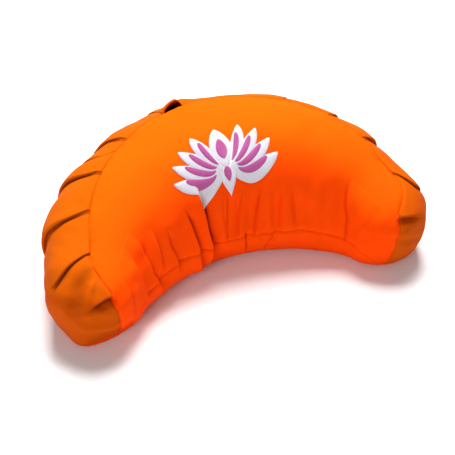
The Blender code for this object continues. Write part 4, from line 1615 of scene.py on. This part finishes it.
@dataclass
class Lotus:
    """An ordinary lotus in satin stitch on the crown: a bud, four petals a side and a small drop below."""

    panel: bpy.types.Object
    heart: tuple[float, float] = (0.0, -0.030)
    layer: float = 0.00022
    under: float = 0.0012
    design: LotusDesign = LotusDesign()

    def leaves(self, sides: tuple[Petal, ...], middles: tuple[Petal, ...]) -> list[Petal]:
        """All leaves of one thread, lowest layer first."""
        return [petal.mirrored(side) for petal in sides for side in Side] + list(middles)

    def drape(self, plan: Array) -> tuple[Array, Array]:
        """Drops plan points onto the panel and finds the surface's normals there.

        Args:
            plan: plan points in the row frame.

        Returns:
            Points on the panel and unit normals.
        """
        reach = 0.0015
        shifts = np.array([(0.0, 0.0), (reach, 0.0), (-reach, 0.0), (0.0, reach), (0.0, -reach)])
        flat = (plan.reshape(1, -1, 2) + shifts[:, None, :]).reshape(-1, 2)
        start = np.concatenate([flat, np.full((len(flat), 1), 0.3)], axis=1)
        mesh = bpy.data.meshes.new("draping")
        mesh.from_pydata(start.tolist(), [], [])
        helper = bpy.data.objects.new("draping", mesh)
        bpy.context.scene.collection.objects.link(helper)
        wrap = helper.modifiers.new("wrap", "SHRINKWRAP")
        wrap.wrap_method = "PROJECT"
        wrap.use_project_z = True
        wrap.use_negative_direction = True
        wrap.use_positive_direction = False
        wrap.target = self.panel
        bpy.context.view_layer.update()
        shaped = helper.evaluated_get(bpy.context.evaluated_depsgraph_get()).to_mesh()
        found = np.empty(len(flat) * 3)
        shaped.vertices.foreach_get("co", found)
        found = found.reshape(5, -1, 3)
        bpy.data.objects.remove(helper)
        normals = np.cross(found[1] - found[2], found[3] - found[4])
        normals /= np.linalg.norm(normals, axis=-1, keepdims=True)
        return found[0].reshape(*plan.shape[:-1], 3), normals.reshape(*plan.shape[:-1], 3)

    def stitch(self, name: str, leaves: list[Petal], base: float, padding: float, finish: SatinThread) -> bpy.types.Object:
        """Makes leaves as padded satin stitch on the panel.

        Args:
            name: the object's name.
            leaves: the leaves, lowest layer first.
            base: how high over the panel the lowest layer starts.
            padding: how far a leaf's middle stands up from there.
            finish: the thread.

        Returns:
            The object.
        """
        patches = []
        for order, leaf in enumerate(leaves):
            flat, lift, uv = leaf.grid(along=44, around=20)
            points, normals = self.drape(flat + np.array(self.heart))
            low = base + self.layer * (order // 2)
            height = np.where(lift > 0, low + padding * lift, low + (low + self.under) * lift)
            shaped = (points + height[..., None] * normals).transpose(1, 0, 2)
            plain = np.zeros(shaped.shape[:2])
            patches.append(Patch(shaped, uv.transpose(1, 0, 2), plain, plain, True, flipped=True))
        piece = build_mesh(name, patches, None, finish.material())
        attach(piece, ROOT)
        return piece

    def build(self) -> list[bpy.types.Object]:
        """Makes the white leaves and the magenta ones on them."""
        white = self.leaves(self.design.side_petals(), self.design.middle_petals())
        magenta = self.leaves(self.design.side_stripes(), self.design.middle_stripes())
        return [
            self.stitch("lotus_white_stitching", white, 0.0002, 0.0014, WHITE_THREAD),
            self.stitch("lotus_magenta_stitching", magenta, 0.0013, 0.0009, MAGENTA_THREAD),
        ]


@dataclass
class Studio:
    """The photograph's surroundings: a pale floor, soft light from above and behind, and the camera."""

    azimuth: float = np.radians(-21.279)
    elevation: float = np.radians(40.997)
    distance: float = 1.3068
    target: tuple[float, float, float] = (0.0003, -0.0326, 0.0540)
    view_angle: float = np.radians(22.0)
    shift: tuple[float, float] = (0.0001, -0.0111)
    floor_size: float = 12.0

    def camera(self) -> None:
        """Places the camera at the photograph's angle."""
        data = bpy.data.cameras.new("camera")
        data.sensor_width = 36.0
        data.lens = data.sensor_width / (2 * np.tan(self.view_angle / 2))
        data.shift_x, data.shift_y = self.shift
        camera = bpy.data.objects.new("camera", data)
        bpy.context.scene.collection.objects.link(camera)
        across, up = np.cos(self.elevation), np.sin(self.elevation)
        back = Vector((np.sin(self.azimuth) * across, -np.cos(self.azimuth) * across, up))
        camera.location = Vector(self.target) + back * self.distance
        camera.rotation_mode = "QUATERNION"
        camera.rotation_quaternion = (-back).to_track_quat("-Z", "Y")
        bpy.context.scene.camera = camera

    def floor(self) -> None:
        """Lays the pale floor."""
        half = self.floor_size / 2
        mesh = bpy.data.meshes.new("floor")
        mesh.from_pydata([(-half, -half, 0), (half, -half, 0), (half, half, 0), (-half, half, 0)], [], [(0, 1, 2, 3)])
        material = bpy.data.materials.new("pale_floor")
        material.use_nodes = True
        shader = material.node_tree.nodes["Principled BSDF"]
        shader.inputs["Base Color"].default_value = (0.90, 0.90, 0.90, 1)
        shader.inputs["Roughness"].default_value = 0.9
        shader.inputs["Specular IOR Level"].default_value = 0.1
        mesh.materials.append(material)
        floor = bpy.data.objects.new("floor", mesh)
        bpy.context.scene.collection.objects.link(floor)

    def lamp(self, name: str, place: tuple[float, float, float], size: float, power: float) -> None:
        """A square soft lamp that looks at the cushion.

        Args:
            name: the lamp's name.
            place: where it hangs.
            size: its side.
            power: its power in watts.
        """
        data = bpy.data.lights.new(name, "AREA")
        data.size = size
        data.energy = power
        lamp = bpy.data.objects.new(name, data)
        lamp.location = place
        lamp.rotation_mode = "QUATERNION"
        lamp.rotation_quaternion = (-Vector(place)).to_track_quat("-Z", "Y")
        bpy.context.scene.collection.objects.link(lamp)

    def light(self) -> None:
        """Hangs the lamps and sets the even white surroundings."""
        self.lamp("key", (0.38, 0.95, 2.3), 1.2, 113.0)
        self.lamp("fill", (-1.5, -1.5, 1.3), 1.0, 17.0)
        world = bpy.data.worlds.new("white_room")
        world.use_nodes = True
        world.node_tree.nodes["Background"].inputs["Color"].default_value = (1, 1, 1, 1)
        world.node_tree.nodes["Background"].inputs["Strength"].default_value = 0.25
        bpy.context.scene.world = world
        bpy.context.scene.view_settings.view_transform = "Standard"


def report(pieces: list[bpy.types.Object]) -> None:
    """Logs each piece with its size."""
    for piece in pieces:
        LOG.info("%s: %d points, %d faces", piece.name, len(piece.data.vertices), len(piece.data.polygons))


def main() -> None:
    """Builds the cushion round its solids, piece by piece, and the room that it lies in."""
    logging.basicConfig(level=logging.INFO, format="%(message)s")
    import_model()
    form = CrescentForm(pushes=PUSHES)
    top = TopPanel(form)
    panel = top.build()
    report([panel])
    report([SideBand(form).build(), BottomPanel(form, top).build()])
    report(Lotus(panel).build())
    studio = Studio()
    studio.floor()
    studio.light()
    studio.camera()


if __name__ == "__main__":
    main()
